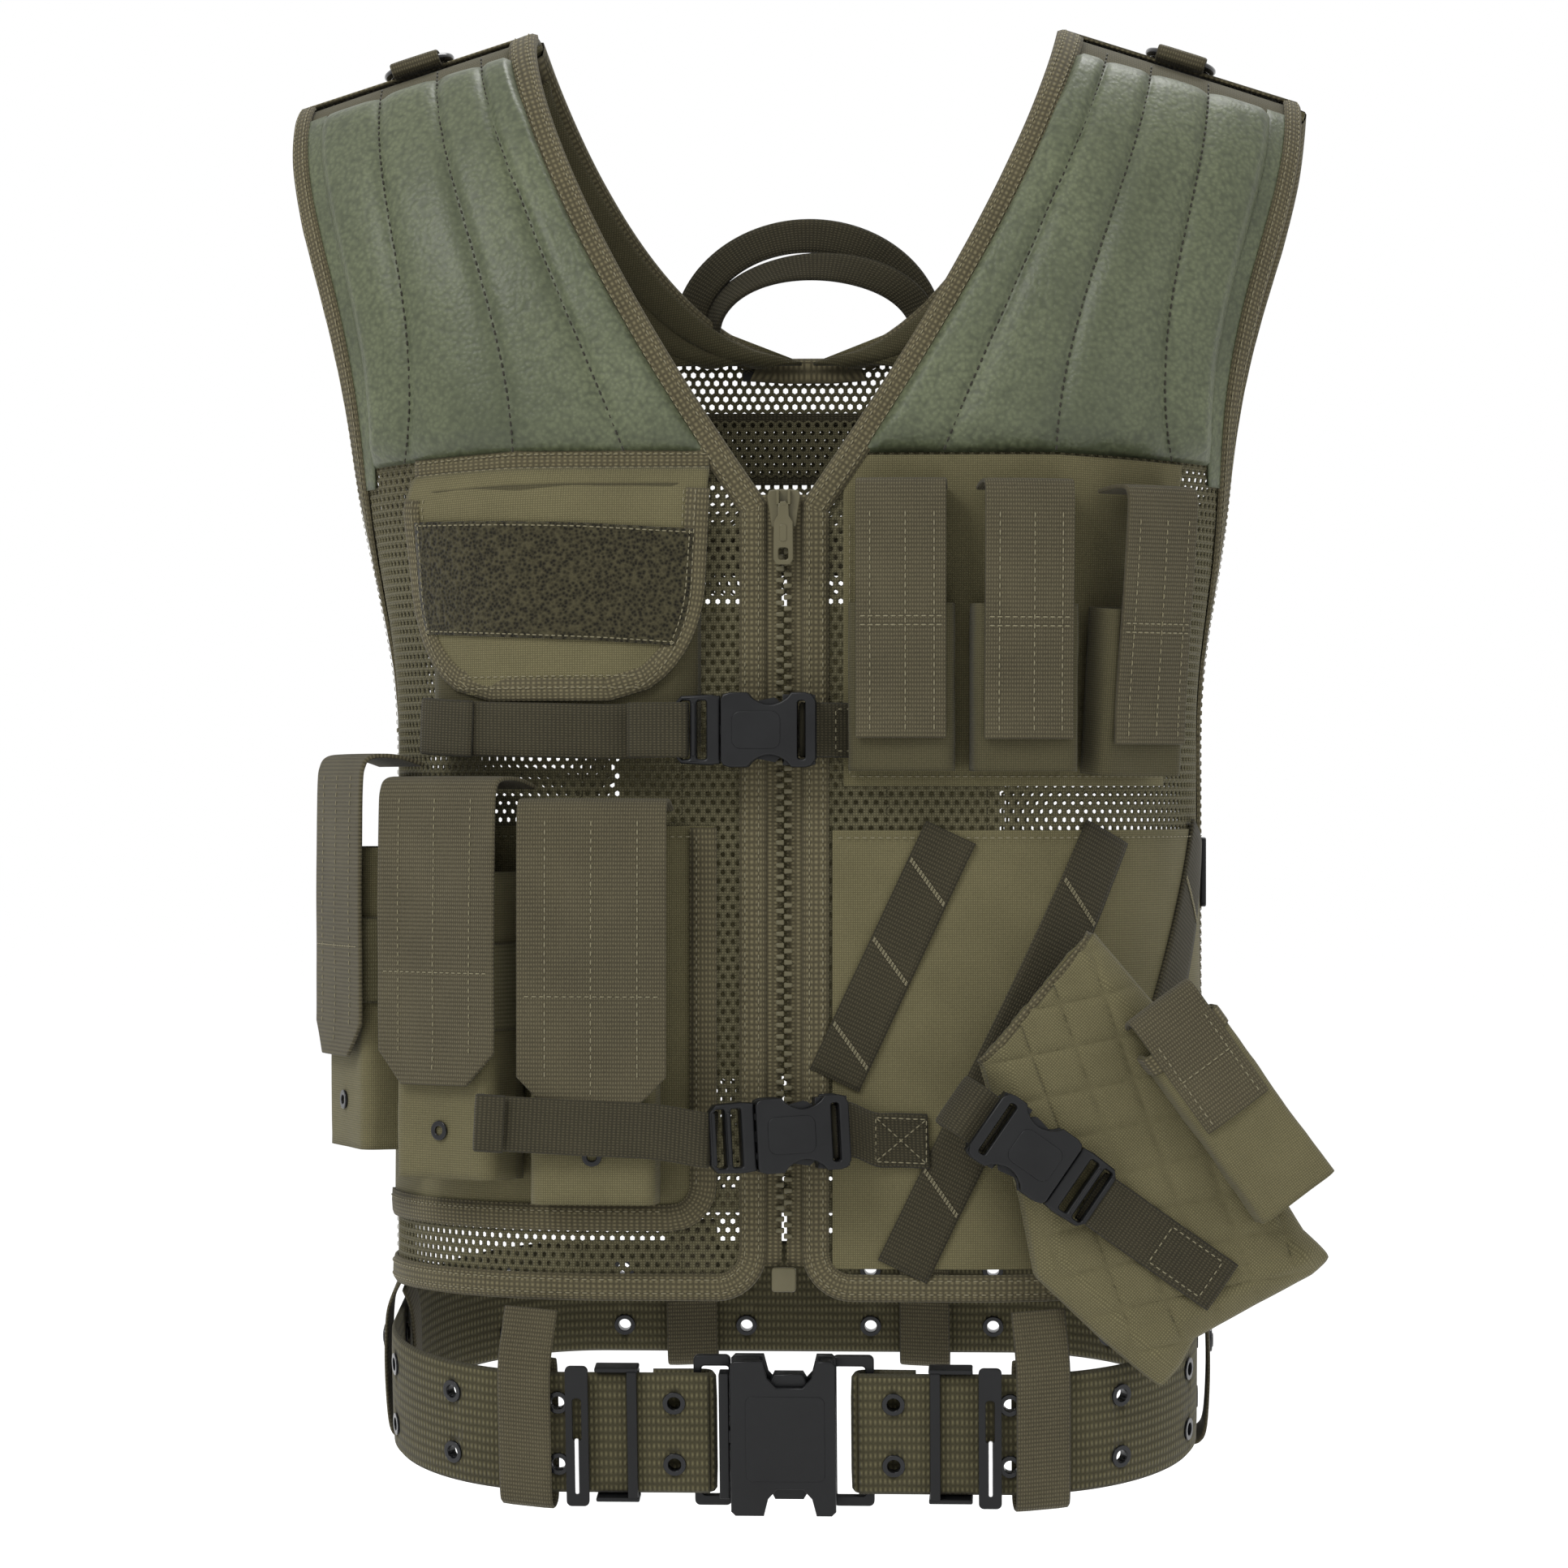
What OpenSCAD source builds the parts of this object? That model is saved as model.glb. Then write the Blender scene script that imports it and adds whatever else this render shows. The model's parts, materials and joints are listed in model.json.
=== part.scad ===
// Load-carrying zip vest with fixed pouches, a cross-draw holster and a hanging pistol belt.
// Millimetres. +Z is up and the wearer faces -Y. The origin is at the middle of the shoulder seam.
// A place on the cloth is given by s, the distance round the body from the zip, and t, the
// distance down from the shoulder seam. Lift is the distance out from the cloth.

/* [Body] */
// Shoulder part, from the shoulder seam to the foot of the pads
yoke_h = 208; // [175:1:250]
// Height of the band that carries the upper pockets
upper_h = 145; // [135:1:180]
// Mesh band between the upper pockets and the lower panels
mid_gap = 23; // [14:1:40]
// Height of the lower panels
lower_h = 179; // [170:1:230]
// Mesh and binding below the lower panels
skirt_h = 34; // [28:1:60]
// Half of the width at the waist
waist_half_w = 190; // [158:1:228]
// Half of the width that the body has at the shoulder seam
shoulder_half_w = 262; // [240:1:290]
// Distance of the zip in front of the shoulder seam
front_d = 128; // [115:1:154]
// Distance of the back behind the shoulder seam
back_d = 100; // [90:1:125]
// Corner radius of the front half of the body
front_r = 110; // [95:1:114]
// Corner radius of the back half of the body
back_r = 85; // [70:1:89]
// Thickness of the cloth shell
shell_t = 3; // [2:0.5:5]

/* [Neck and arms] */
// Half of the neck opening at the shoulder seam
neck_half_w = 125; // [100:1:140]
// Depth of the back neckline
back_neck_h = 148; // [110:1:170]
// Outer end of the shoulder seam, measured round the body
shoulder_out = 252; // [235:1:265]
// Narrowest place of the front beside the armhole, measured round the body
chest_out = 226; // [215:1:240]
// Fall of the shoulder seam for each millimetre outwards
seam_slope = 0.32; // [0.2:0.01:0.45]
// Width of the edge binding
binding_w = 11.5; // [8:0.5:16]

/* [Zip] */
// Width of the open gap between the front panels
zip_gap = 18; // [16:1:24]
// Length of one zip tooth step
tooth_step = 5.2; // [4:0.1:7]
// Length of the slider
slider_h = 17; // [14:1:24]
// Length of the pull tab
pull_h = 27; // [20:1:40]

/* [Straps and buckles] */
// Width of the strap webbing
strap_w = 25; // [20:1:30]
// Thickness of the strap webbing
strap_t = 1.6; // [1:0.1:2.5]
// Length of the buckle socket on the straps
socket_l = 43; // [38:1:52]
// How much wider the socket is than its strap, on each side
socket_rim = 4.5; // [3.5:0.5:6]
// Thickness of the strap buckles
buckle_t = 13; // [11:0.5:16]

/* [Pistol pouches] */
// Width of a pistol pouch
pistol_w = 48; // [40:1:50]
// Distance between pistol pouches, round the body
pistol_step = 53; // [52:1:60]
// Depth of a pistol pouch
pistol_depth = 20; // [14:1:26]
// Height of a pistol pouch from mouth to base
pistol_h = 76; // [60:1:84]
// Width of a pistol pouch flap
pistol_flap_w = 41; // [34:1:46]
// Length of a pistol pouch flap
pistol_flap_h = 117; // [95:1:125]

/* [Rifle pouches] */
// Width of a rifle pouch
rifle_w = 57; // [45:1:58]
// Depth of a rifle pouch
rifle_depth = 29; // [20:1:34]
// Height of a rifle pouch from mouth to base
rifle_h = 140; // [118:1:145]
// Width of a rifle pouch flap
rifle_flap_w = 68; // [56:1:70]
// Length of a rifle pouch flap
rifle_flap_h = 139; // [116:1:142]

/* [Utility pocket] */
// Width of the utility pocket, round the body
pocket_w = 134; // [100:1:150]
// Depth of the utility pocket
pocket_depth = 10; // [8:1:11]
// Length of the utility pocket flap
pocket_flap_h = 106; // [80:1:108]

/* [Holster] */
// Length of the holster along the barrel
holster_l = 178; // [150:1:195]
// Width of the holster mouth
holster_mouth = 76; // [64:1:84]
// Thickness of the holster, cloth to cloth
holster_t = 24; // [19:1:27]
// Thickness of the holster's quilted wall
holster_wall = 3; // [2:0.5:4]

/* [Belt] */
// Height of the belt webbing
belt_w = 57; // [48:1:68]
// Thickness of the belt webbing
belt_t = 3.5; // [2.5:0.5:5]
// Half of the width of the belt loop
belt_half_w = 188; // [158:1:225]
// Drop from the hem to the middle of the belt, at the shoulder seam plane
belt_drop = 38; // [34:1:60]
// Radius of an eyelet hole
eyelet_r = 3; // [2:0.25:4]
// Distance between the two eyelet rows
row_gap = 29; // [22:1:34]
// Length of the belt buckle body
belt_socket_l = 48; // [42:1:58]

/* [Hidden] */

clear = 0.3;                       // gap between pieces that touch in the cloth
$fn = 48;

// Levels down the front, as distances from the shoulder seam
upper_t = yoke_h + 5;
lower_t = upper_t + upper_h + mid_gap;
lower_end_t = lower_t + lower_h;
hem_t = lower_end_t + skirt_h;
back_hem_t = hem_t - 22;
fall_t = yoke_h + 7;               // below this the front hangs straight
armhole_h = yoke_h + 127;
zip_top_t = yoke_h + 17;
zip_end_t = hem_t - 15;
neck_h = zip_top_t + 6;
seam_fade = 250;                   // the slope of the shoulder seam is gone this far down
pad_lift = 9;
sag = 1;                           // the flat facets of the cloth stay this far under its true surface

olive = "#5b5845";
webbing_olive = "#55523f";
pad_green = "#5f6a55";
mesh_olive = "#4c4a38";
black = "#18191a";

// ---------- the body surface ----------

function unit(v) = v / norm(v);
function ease(a, b, u) = a + (b - a) * (1 - cos(180 * max(0, min(1, u)))) / 2;
function half_w(t) = ease(shoulder_half_w, waist_half_w, t / armhole_h);
function fall(t) = t >= fall_t ? 1 : sqrt(1 - pow(1 - max(t, 0) / fall_t, 2));
function flat_w(t, r) = half_w(t) - r;
function turn(s, t, r) = max(0, min(90, (abs(s) - flat_w(t, r)) / r * 180 / PI));
function seam(x) = -seam_slope * max(0, abs(x) - neck_half_w);
function side_s(t, r, d) = flat_w(t, r) + r * PI / 2 + d - r;

function skin(s, t, r = front_r, d = front_d) =
    let(a = turn(s, t, r), w = flat_w(t, r), past = max(0, abs(s) - w - r * PI / 2))
    let(x = abs(s) < w ? abs(s) : w + r * sin(a))
    let(y = (d - r * (1 - cos(a)) - past) * fall(t) + clear / 2)
    [sign(s) * x, -y, -t + seam(x) * max(0, 1 - t / seam_fade)];

function normal(s, t, r = front_r, d = front_d) =
    t < 0.01 ? unit([sign(s) * (abs(s) > neck_half_w ? seam_slope : 0), 0, 1])
    : unit(cross(skin(s, t + 1, r, d) - skin(s, max(0, t - 1), r, d),
                 skin(s + 1, t, r, d) - skin(s - 1, t, r, d)));

function lifted(s, t, lift, r = front_r, d = front_d) = skin(s, t, r, d) + lift * normal(s, t, r, d);

// Edges of the front and back, as a distance round the body at each level
function neck_edge(t) =
    t >= neck_h ? zip_gap / 2
    : zip_gap / 2 + (neck_half_w - zip_gap / 2) * (1 - pow(t / neck_h, 1.4));
function back_neck_edge(t) = neck_half_w * sqrt(max(0, 1 - pow(t / back_neck_h, 1.2)));
function arm_edge(t, r = front_r, d = front_d) =
    t < armhole_h / 2 ? ease(shoulder_out, chest_out, 2 * t / armhole_h)
    : t < armhole_h ? ease(chest_out, side_s(armhole_h, r, d), 2 * t / armhole_h - 1)
    : side_s(t, r, d);
// The hem runs up in a quarter round beside the zip
corner_r = 22;
function hem_at(s) =
    let(e = abs(s) - zip_gap / 2)
    hem_t - (e >= corner_r ? 0 : corner_r - sqrt(max(0, corner_r * corner_r - pow(corner_r - e, 2))));

// A piece of cloth between two lifts. where(u, v) gives [s, t] for u and v from 0 to 1.
module patch(where, nu, nv, low, high, r = front_r, d = front_d) {
    function spot(i, j, lift) = let(q = where(i / nu, j / nv)) lifted(q.x, q.y, lift, r, d);
    points = [for (lift = [high, low], j = [0 : nv], i = [0 : nu]) spot(i, j, lift)];
    function at(k, i, j) = (k * (nv + 1) + j) * (nu + 1) + i;
    function quad(a, b, c, e) = [[a, b, c], [a, c, e]];
    sides = [for (j = [0 : nv - 1], i = [0 : nu - 1]) each concat(
        quad(at(0, i, j), at(0, i + 1, j), at(0, i + 1, j + 1), at(0, i, j + 1)),
        quad(at(1, i, j + 1), at(1, i + 1, j + 1), at(1, i + 1, j), at(1, i, j)))];
    ends = [for (i = [0 : nu - 1]) each concat(
        quad(at(1, i, 0), at(1, i + 1, 0), at(0, i + 1, 0), at(0, i, 0)),
        quad(at(0, i, nv), at(0, i + 1, nv), at(1, i + 1, nv), at(1, i, nv)))];
    edges = [for (j = [0 : nv - 1]) each concat(
        quad(at(1, 0, j), at(0, 0, j), at(0, 0, j + 1), at(1, 0, j + 1)),
        quad(at(0, nu, j), at(1, nu, j), at(1, nu, j + 1), at(0, nu, j + 1)))];
    polyhedron(points, concat(sides, ends, edges));
}

// A level band of webbing round the body, of true flat facets
module band(s0, s1, t, h, low, high, n = 10, r = front_r, d = front_d) {
    function flat_at(s, lift) =
        let(p = skin(s, t, r, d), a = turn(s, t, r)) [p.x + lift * sign(s) * sin(a), p.y - lift * cos(a)];
    outer = [for (i = [0 : n]) flat_at(s0 + (s1 - s0) * i / n, high)];
    inner = [for (i = [n : -1 : 0]) flat_at(s0 + (s1 - s0) * i / n, low)];
    translate([0, 0, -t - h / 2]) linear_extrude(h) polygon(concat(outer, inner));
}

// Puts a child on the front at s and t: its -Y side faces out and its Z is up
module on_front(s, t, lift = 0) {
    a = sign(s) * turn(s, t, front_r);
    p = skin(s, t);
    translate(p + lift * [sin(a), -cos(a), 0]) rotate([0, 0, a]) children();
}

// The same for a piece that hangs from t0 to t1: its Z follows the slope of the cloth there
module on_slope(s, t0, t1) {
    a = sign(s) * turn(s, (t0 + t1) / 2, front_r);
    fall_in = (skin(s, t0) - skin(s, t1)) * [sin(a), -cos(a), 0];
    translate(skin(s, t0)) rotate([atan(fall_in / (t1 - t0)), 0, a]) children();
}

module left() { mirror([1, 0, 0]) children(); }
module back() { mirror([0, 1, 0]) children(); }

// A plate that stands in XZ and is t thick in Y, about y = 0
module plate(t) { translate([0, t / 2, 0]) rotate([90, 0, 0]) linear_extrude(t) children(); }

module round_rect(w, h, r) {
    square([w - 2 * r, h], center = true);
    square([w, h - 2 * r], center = true);
    for (x = [-1, 1], z = [-1, 1]) translate([x * (w / 2 - r), z * (h / 2 - r)]) circle(r);
}

// ---------- shell ----------

// Rows down to the foot of the neckline, closer where the shoulder rounds over
front_rows = [0, 0.015, 0.04, 0.09, 0.17, 0.28, 0.42, 0.6, 0.8, 1];

module front_panel() {
    top = len(front_rows) - 1;
    count = top + 8;
    function row(v) = let(k = round(v * count))
        k <= top ? front_rows[k] * neck_h : neck_h + (hem_t - neck_h) * (k - top) / 8;
    where = function(u, v)
        let(t = row(v), s = neck_edge(t) + (arm_edge(t) - neck_edge(t)) * u)
        [s, t <= neck_h ? t : neck_h + (t - neck_h) * (hem_at(s) - neck_h) / (hem_t - neck_h)];
    patch(where, 14, count, -shell_t - sag, -sag);
}
module front_panel_left() { color(mesh_olive) left() front_panel(); }
module front_panel_right() { color(mesh_olive) front_panel(); }

yoke_end_t = back_neck_h - 2;
module back_yoke() {
    where = function(u, v)
        let(t = yoke_end_t * front_rows[round(v * 9)], s0 = back_neck_edge(t))
        [s0 + (arm_edge(t, back_r, back_d) - s0) * u, t];
    back() patch(where, 10, 9, -shell_t - sag, -sag, back_r, back_d);
}
module back_yoke_left() { color(olive) left() back_yoke(); }
module back_yoke_right() { color(olive) back_yoke(); }

module back_panel() {
    where = function(u, v)
        let(t = yoke_end_t + clear + (back_hem_t - yoke_end_t - clear) * v)
        [arm_edge(t, back_r, back_d) * (2 * u - 1), t];
    color(mesh_olive) back() patch(where, 28, 8, -shell_t - sag, -sag, back_r, back_d);
}

module shoulder_pad() {
    edge = 8;
    where = function(u, v)
        let(t = 16 + (yoke_h - 16) * v)
        let(s0 = neck_edge(t) + binding_w + clear, s1 = arm_edge(t) - binding_w - edge)
        [s0 + (s1 - s0) * u, t];
    patch(where, 10, 9, clear, pad_lift);
}
module shoulder_pad_left() { color(pad_green) left() shoulder_pad(); }
module shoulder_pad_right() { color(pad_green) shoulder_pad(); }

// Ribbed tape on the neck, zip, hem and armhole edges of one front and of the back behind it
module binding() {
    tape = 2;
    // Rows lie closer where the shoulder rounds over
    neck = function(u, v)
        let(t = 4 + (neck_h - 4) * pow(v, 1.8)) [neck_edge(t) + binding_w * u, t];
    arm = function(u, v)
        let(t = 4 + (armhole_h - 4) * pow(v, 1.8)) [arm_edge(t) - binding_w * (1 - u), t];
    patch(neck, 1, 18, clear, tape);
    patch(arm, 2, 20, clear, tape);
    x0 = zip_gap / 2;
    translate([x0, -front_d - tape, -hem_t + corner_r])
        cube([binding_w, tape - clear, hem_t - corner_r - neck_h - clear]);
    band(x0 + corner_r, side_s(hem_t, front_r, front_d) - 1, hem_t - binding_w / 2, binding_w - 0.2, clear, tape, 12);
    back() band(2, side_s(hem_t, back_r, back_d) - 1, back_hem_t - binding_w / 2, binding_w, clear, tape, 12,
        back_r, back_d);
}
module binding_left() { color(webbing_olive) left() binding(); }
module binding_right() { color(webbing_olive) binding(); }

back_pocket_w = 210;
module back_pocket() {
    where = function(u, v)
        [back_pocket_w * (u - 0.5), upper_t + 45 + (lower_end_t - upper_t - 90) * v];
    color(olive) back() patch(where, 8, 3, clear, 7, back_r, back_d);
}

// Two level straps sewn across the back, and the short straps that close each side seam
side_strap_levels = [lower_t + 20, lower_end_t - 45];
module back_straps() {
    reach = chest_out - 40;
    color(webbing_olive) {
        back() for (t = [upper_t + 22, lower_end_t - 18])
            band(-reach, reach, t, strap_w, 1.6, 1.6 + strap_t, 30, back_r, back_d);
        for (m = [0, 1], t = side_strap_levels) mirror([m, 0, 0])
            translate([waist_half_w + clear, -(front_d - front_r) + 1, -t - strap_w / 2])
                cube([strap_t, front_d - front_r + back_d - back_r - 2, strap_w]);
    }
}

// A flat ladder slider on each side strap
module side_sliders() {
    color(black) for (m = [0, 1], t = side_strap_levels) mirror([m, 0, 0])
        translate([waist_half_w + strap_t + 2 * clear, 0, -t]) rotate([0, 0, 90]) translate([0, -1.5, 0])
            plate(3) difference() {
                round_rect(16, strap_w + 8, 2);
                for (x = [-4, 4]) translate([x, 0]) square([3.5, strap_w + 1], center = true);
            }
}

// ---------- handle and rings ----------

handle_half_w = 62;
handle_rise = 50;
module carry_handle() {
    foot_t = back_neck_h - 14;
    thick = 4;
    n = 14;
    function arc(a, b) = [for (i = [0 : n]) [a * cos(180 * i / n), b * sin(180 * i / n)]];
    inner = arc(handle_half_w - thick, handle_rise - thick);
    p = skin(handle_half_w, foot_t, back_r, back_d);
    color(webbing_olive) translate([0, -p.y + 3, p.z]) plate(5)
        polygon(concat(arc(handle_half_w, handle_rise), [for (i = [n : -1 : 0]) inner[i]]));
}

ring_s = 182;
ring_r = 15.5;
ring_wire = 2;
ring_lift = 4.6;
ring_tilt = atan(seam_slope);
module on_shoulder() {
    p = skin(ring_s, 0);
    translate([p.x, 0, p.z]) rotate([0, ring_tilt, 0]) translate([0, 0, ring_lift]) children();
}
module shoulder_ring() { color(black) on_shoulder() rotate_extrude() translate([ring_r, 0]) circle(ring_wire); }
module shoulder_ring_left() { left() shoulder_ring(); }
module shoulder_ring_right() { shoulder_ring(); }

// Two webbing loops hold each ring down, in front of and behind the seam
module shoulder_keepers() {
    wall = 1.4;
    inside = [13, 2 * ring_wire + 1.2];
    color(webbing_olive) for (m = [0, 1], k = [-1, 1]) mirror([m, 0, 0]) on_shoulder()
        translate([0, k * (ring_r + ring_wire + 0.6 - inside.x / 2), 0])
            rotate([90, 0, 90]) linear_extrude(20, center = true) difference() {
                square([inside.x + 2 * wall, inside.y + 2 * wall], center = true);
                square(inside, center = true);
            }
}

// ---------- zip ----------

teeth_t0 = zip_top_t + slider_h - 3;
tooth_h = 2.2;
zip_y = -front_d;
slider_plate = 1.8;
module zip_tapes() {
    color(olive) for (m = [0, 1]) mirror([m, 0, 0])
        translate([1.6, zip_y - 0.2, -zip_end_t])
            cube([zip_gap / 2 - 1.6 - clear, 1, zip_end_t - zip_top_t]);
}
module zip_teeth(first) {
    count = floor((zip_end_t - 10 - teeth_t0) / tooth_step);
    for (k = [0 : count - 1])
        translate([0.7, zip_y - 3, -teeth_t0 - first - k * tooth_step - tooth_h]) cube([3.9, 2.6, tooth_h]);
}
module zip_teeth_left() { color(olive) left() zip_teeth(0); }
module zip_teeth_right() { color(olive) zip_teeth(tooth_step / 2); }
module zip_bottom_box() {
    color(olive) translate([0, zip_y - 2.6, -zip_end_t - clear - 5.5]) plate(5) round_rect(11, 11, 1.5);
}

// Two plates joined by a thin post that runs between the two rows of teeth
module zip_slider() {
    front_y = zip_y - 3 - clear - slider_plate / 2;
    back_y = zip_y + 1 + clear + slider_plate / 2;
    color(olive) translate([0, 0, -zip_top_t - slider_h / 2]) {
        for (y = [front_y, back_y]) translate([0, y, 0]) plate(slider_plate) round_rect(15.5, slider_h, 3);
        translate([-0.45, front_y, -slider_h / 2 + 2]) cube([0.9, back_y - front_y, slider_h - 4]);
        for (x = [-1, 1]) translate([x * 2.6, front_y - 2.2, slider_h / 2 - 7]) cube([1.4, 3.2, 7], center = true);
    }
}
pull_y = zip_y - 3 - clear - slider_plate - 2.3;
pull_t = zip_top_t + 6.5;
module zip_pull() {
    color(olive) translate([0, pull_y, -pull_t]) {
        rotate([0, 90, 0]) cylinder(h = 3.2, r = 1.1, center = true);
        translate([0, 0, -pull_h / 2 - 0.8]) plate(1.8) difference() {
            round_rect(8.5, pull_h, 2);
            translate([0, -pull_h / 2 + 6]) round_rect(4, 6, 1);
            for (x = [-1, 1]) translate([x * 3.3, pull_h / 2]) square([3.4, 12], center = true);
        }
    }
}

// ---------- upper left: utility pocket ----------

pocket_s0 = 38;
pocket_t0 = upper_t + 9;
pocket_h = upper_h - 22;
pocket_wall = 1.6;
module utility_pouch() {
    s1 = pocket_s0 + pocket_w;
    t1 = pocket_t0 + pocket_h;
    front = function(u, v) [pocket_s0 + pocket_w * u, pocket_t0 + pocket_h * v];
    base = function(u, v) [pocket_s0 + pocket_w * u, t1 - pocket_wall * (1 - v)];
    function wall(s) = function(u, v)
        [s + pocket_wall * u, pocket_t0 + (pocket_h - pocket_wall) * v];
    inside = pocket_depth - pocket_wall;
    color(olive) left() {
        patch(front, 12, 3, inside, pocket_depth);
        patch(base, 10, 1, clear, inside);
        patch(wall(pocket_s0), 1, 3, clear, inside);
        patch(wall(s1 - pocket_wall), 1, 3, clear, inside);
    }
}
flap_top_t = upper_t + 1;
flap_over = 4;                      // how far the flap reaches past each side of the pocket
module utility_flap() {
    round_h = 34;
    width = pocket_w + 2 * flap_over;
    face = function(u, v)
        let(h = pocket_flap_h * v, e = max(0, h - pocket_flap_h + round_h))
        let(cut = (round_h - sqrt(max(0, round_h * round_h - e * e))) * 0.96)
        [pocket_s0 - flap_over + cut + (width - 2 * cut) * u, flap_top_t + h];
    color(olive) left() patch(face, 12, 10, pocket_depth + 1.7, pocket_depth + 3.4);
}

// ---------- upper right: pistol pouches ----------

pistol_s0 = 54;
pistol_mouth_t = upper_t + 64;
pistol_flap_t = upper_t + 8;
function pistol_s(i) = pistol_s0 + pistol_step * i;
module on_pistol(i) { on_slope(pistol_s(i), pistol_flap_t, pistol_mouth_t + pistol_h) children(); }
module pistol_panel() {
    where = function(u, v)
        let(t = upper_t + upper_h * v, s1 = pistol_s(2) + pistol_w / 2 + 6)
        let(s0 = max(pistol_s0 - pistol_w / 2 - 3, neck_edge(t) + binding_w + 1))
        [s0 + (s1 - s0) * u, t];
    color(olive) patch(where, 10, 5, clear, 1.5);
}
// An open-topped cloth box, seen from outside at -Y, with its back on y = 0
module open_box(w, h, depth, wall) {
    difference() {
        translate([-w / 2, -depth, -h]) cube([w, depth, h]);
        translate([-w / 2 + wall, -depth + wall, -h + wall]) cube([w - 2 * wall, depth - 2 * wall, h]);
    }
}
module pistol_pouches() {
    color(olive) for (i = [0 : 2]) on_pistol(i)
        translate([0, -2, pistol_flap_t - pistol_mouth_t]) open_box(pistol_w, pistol_h, pistol_depth, 1.4);
}
// A webbing flap hangs down over the pouch from a root sewn to the panel above the mouth
flap_t = 2.4;
module flap(w, h, out, cut) {
    color(webbing_olive) translate([0, -out - flap_t / 2, 0]) plate(flap_t) polygon([
        [-w / 2, 0], [w / 2, 0], [w / 2, cut - h], [w / 2 - cut, -h], [cut - w / 2, -h], [-w / 2, cut - h]]);
}
flap_gap = 0.6;
module pistol_flap(i) {
    on_pistol(i) flap(pistol_flap_w, pistol_flap_h, pistol_depth + 2 + flap_gap, 0.01);
}
module pistol_flap_1() { pistol_flap(0); }
module pistol_flap_2() { pistol_flap(1); }
module pistol_flap_3() { pistol_flap(2); }

// ---------- lower left: rifle pouches ----------

rifle_s = [84, 143, 205];           // the first pouch is the one beside the zip
rifle_rise = 0.17;                  // the row climbs towards the side
function rifle_up(i) = rifle_rise * (rifle_s[i] - rifle_s[0]);
rifle_mouth_t = lower_t + 28;
rifle_flap_t = lower_t - 14;
module rifle_panel() {
    where = function(u, v) [32 + 206 * u, lower_t + lower_h * v];
    color(olive) left() patch(where, 12, 5, clear, 1.5);
}
module rifle_pouches() {
    color(olive) left() for (i = [0 : 2])
        on_front(rifle_s[i], rifle_mouth_t - rifle_up(i), 2) difference() {
            open_box(rifle_w, rifle_h, rifle_depth, 1.6);
            translate([0, -rifle_depth + 5, -grommet_drop]) rotate([90, 0, 0]) cylinder(h = 10, r = grommet_r);
        }
}
module rifle_flap(i) {
    left() on_front(rifle_s[i], rifle_flap_t - rifle_up(i), 0)
        flap(rifle_flap_w, rifle_flap_h, rifle_depth + 2 + flap_gap, 15);
}
module rifle_flap_1() { rifle_flap(0); }
module rifle_flap_2() { rifle_flap(1); }
module rifle_flap_3() { rifle_flap(2); }

grommet_r = 2.2;
grommet_drop = 118;
module grommet(hole, rim, length) {
    rotate([90, 0, 0]) difference() {
        union() {
            cylinder(h = length, r = hole + 0.9, center = true);
            for (z = [-1, 1]) translate([0, 0, z * (length / 2 + 0.4)]) cylinder(h = 0.8, r = rim, center = true);
        }
        cylinder(h = length + 4, r = hole, center = true);
    }
}

// ---------- lower right: holster ----------

module holster_panel() {
    where = function(u, v)
        [zip_gap / 2 + binding_w + 1 + (248 - zip_gap / 2 - binding_w - 1) * u,
         lower_t + (hem_t - binding_w - 1 - lower_t) * v];
    color(olive) patch(where, 12, 5, clear, 1.5);
}

// The holster's own frame: X along the mouth, Z against the barrel, -Y out
holster_x = 89;
holster_t0 = hem_t - 109;
holster_turn = 50;
holster_yaw = 10;
holster_lift = 7;
module on_holster() {
    translate([holster_x, -front_d - holster_lift, -holster_t0]) rotate([0, 0, holster_yaw])
        rotate([0, -holster_turn, 0]) children();
}
function holster_outline(e) = let(l = holster_l / 178, m = holster_mouth)
    [[e, e > 0 ? 5 : 0], [m - e, e > 0 ? 5 : 0], [m - 11 - e, -70 * l], [m - 42 - e, -161 * l],
     [m - 43 - e, -178 * l + e], [23, -176 * l + e], [-34, -152 * l + e], [-60 + e, -157 * l + e],
     [-58 + e, -81 * l], [-36 + e, -54 * l]];
module holster_shell() {
    color(olive) on_holster() difference() {
        translate([0, -holster_t / 2, 0]) plate(holster_t) polygon(holster_outline(0));
        translate([0, -holster_t / 2, 0]) plate(holster_t - 2 * holster_wall) polygon(holster_outline(holster_wall));
    }
}
// The patch of hook tape that holds the holster to the panel
module holster_hook_pad() {
    color(black) on_holster() translate([4, clear, -48]) cube([34, holster_lift - 2.6, 40]);
}

// The spare magazine pouch on the front of the holster, along its upper edge
mag_w = 40;
mag_l = 92;
mag_depth = 22;
module on_mag() {
    on_holster() translate([holster_mouth - 30, -holster_t - clear, -50]) rotate([0, 14, 0]) children();
}
module holster_pouch() {
    color(olive) on_mag() translate([mag_w / 2, 0, 0]) open_box(mag_w, mag_l, mag_depth, 1.5);
}
mag_flap_w = 34;
mag_flap_up = 16;
module holster_pouch_flap() {
    on_mag() translate([mag_w / 2, 0, mag_flap_up]) flap(mag_flap_w, 60, mag_depth + 3, 0.01);
}

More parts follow.
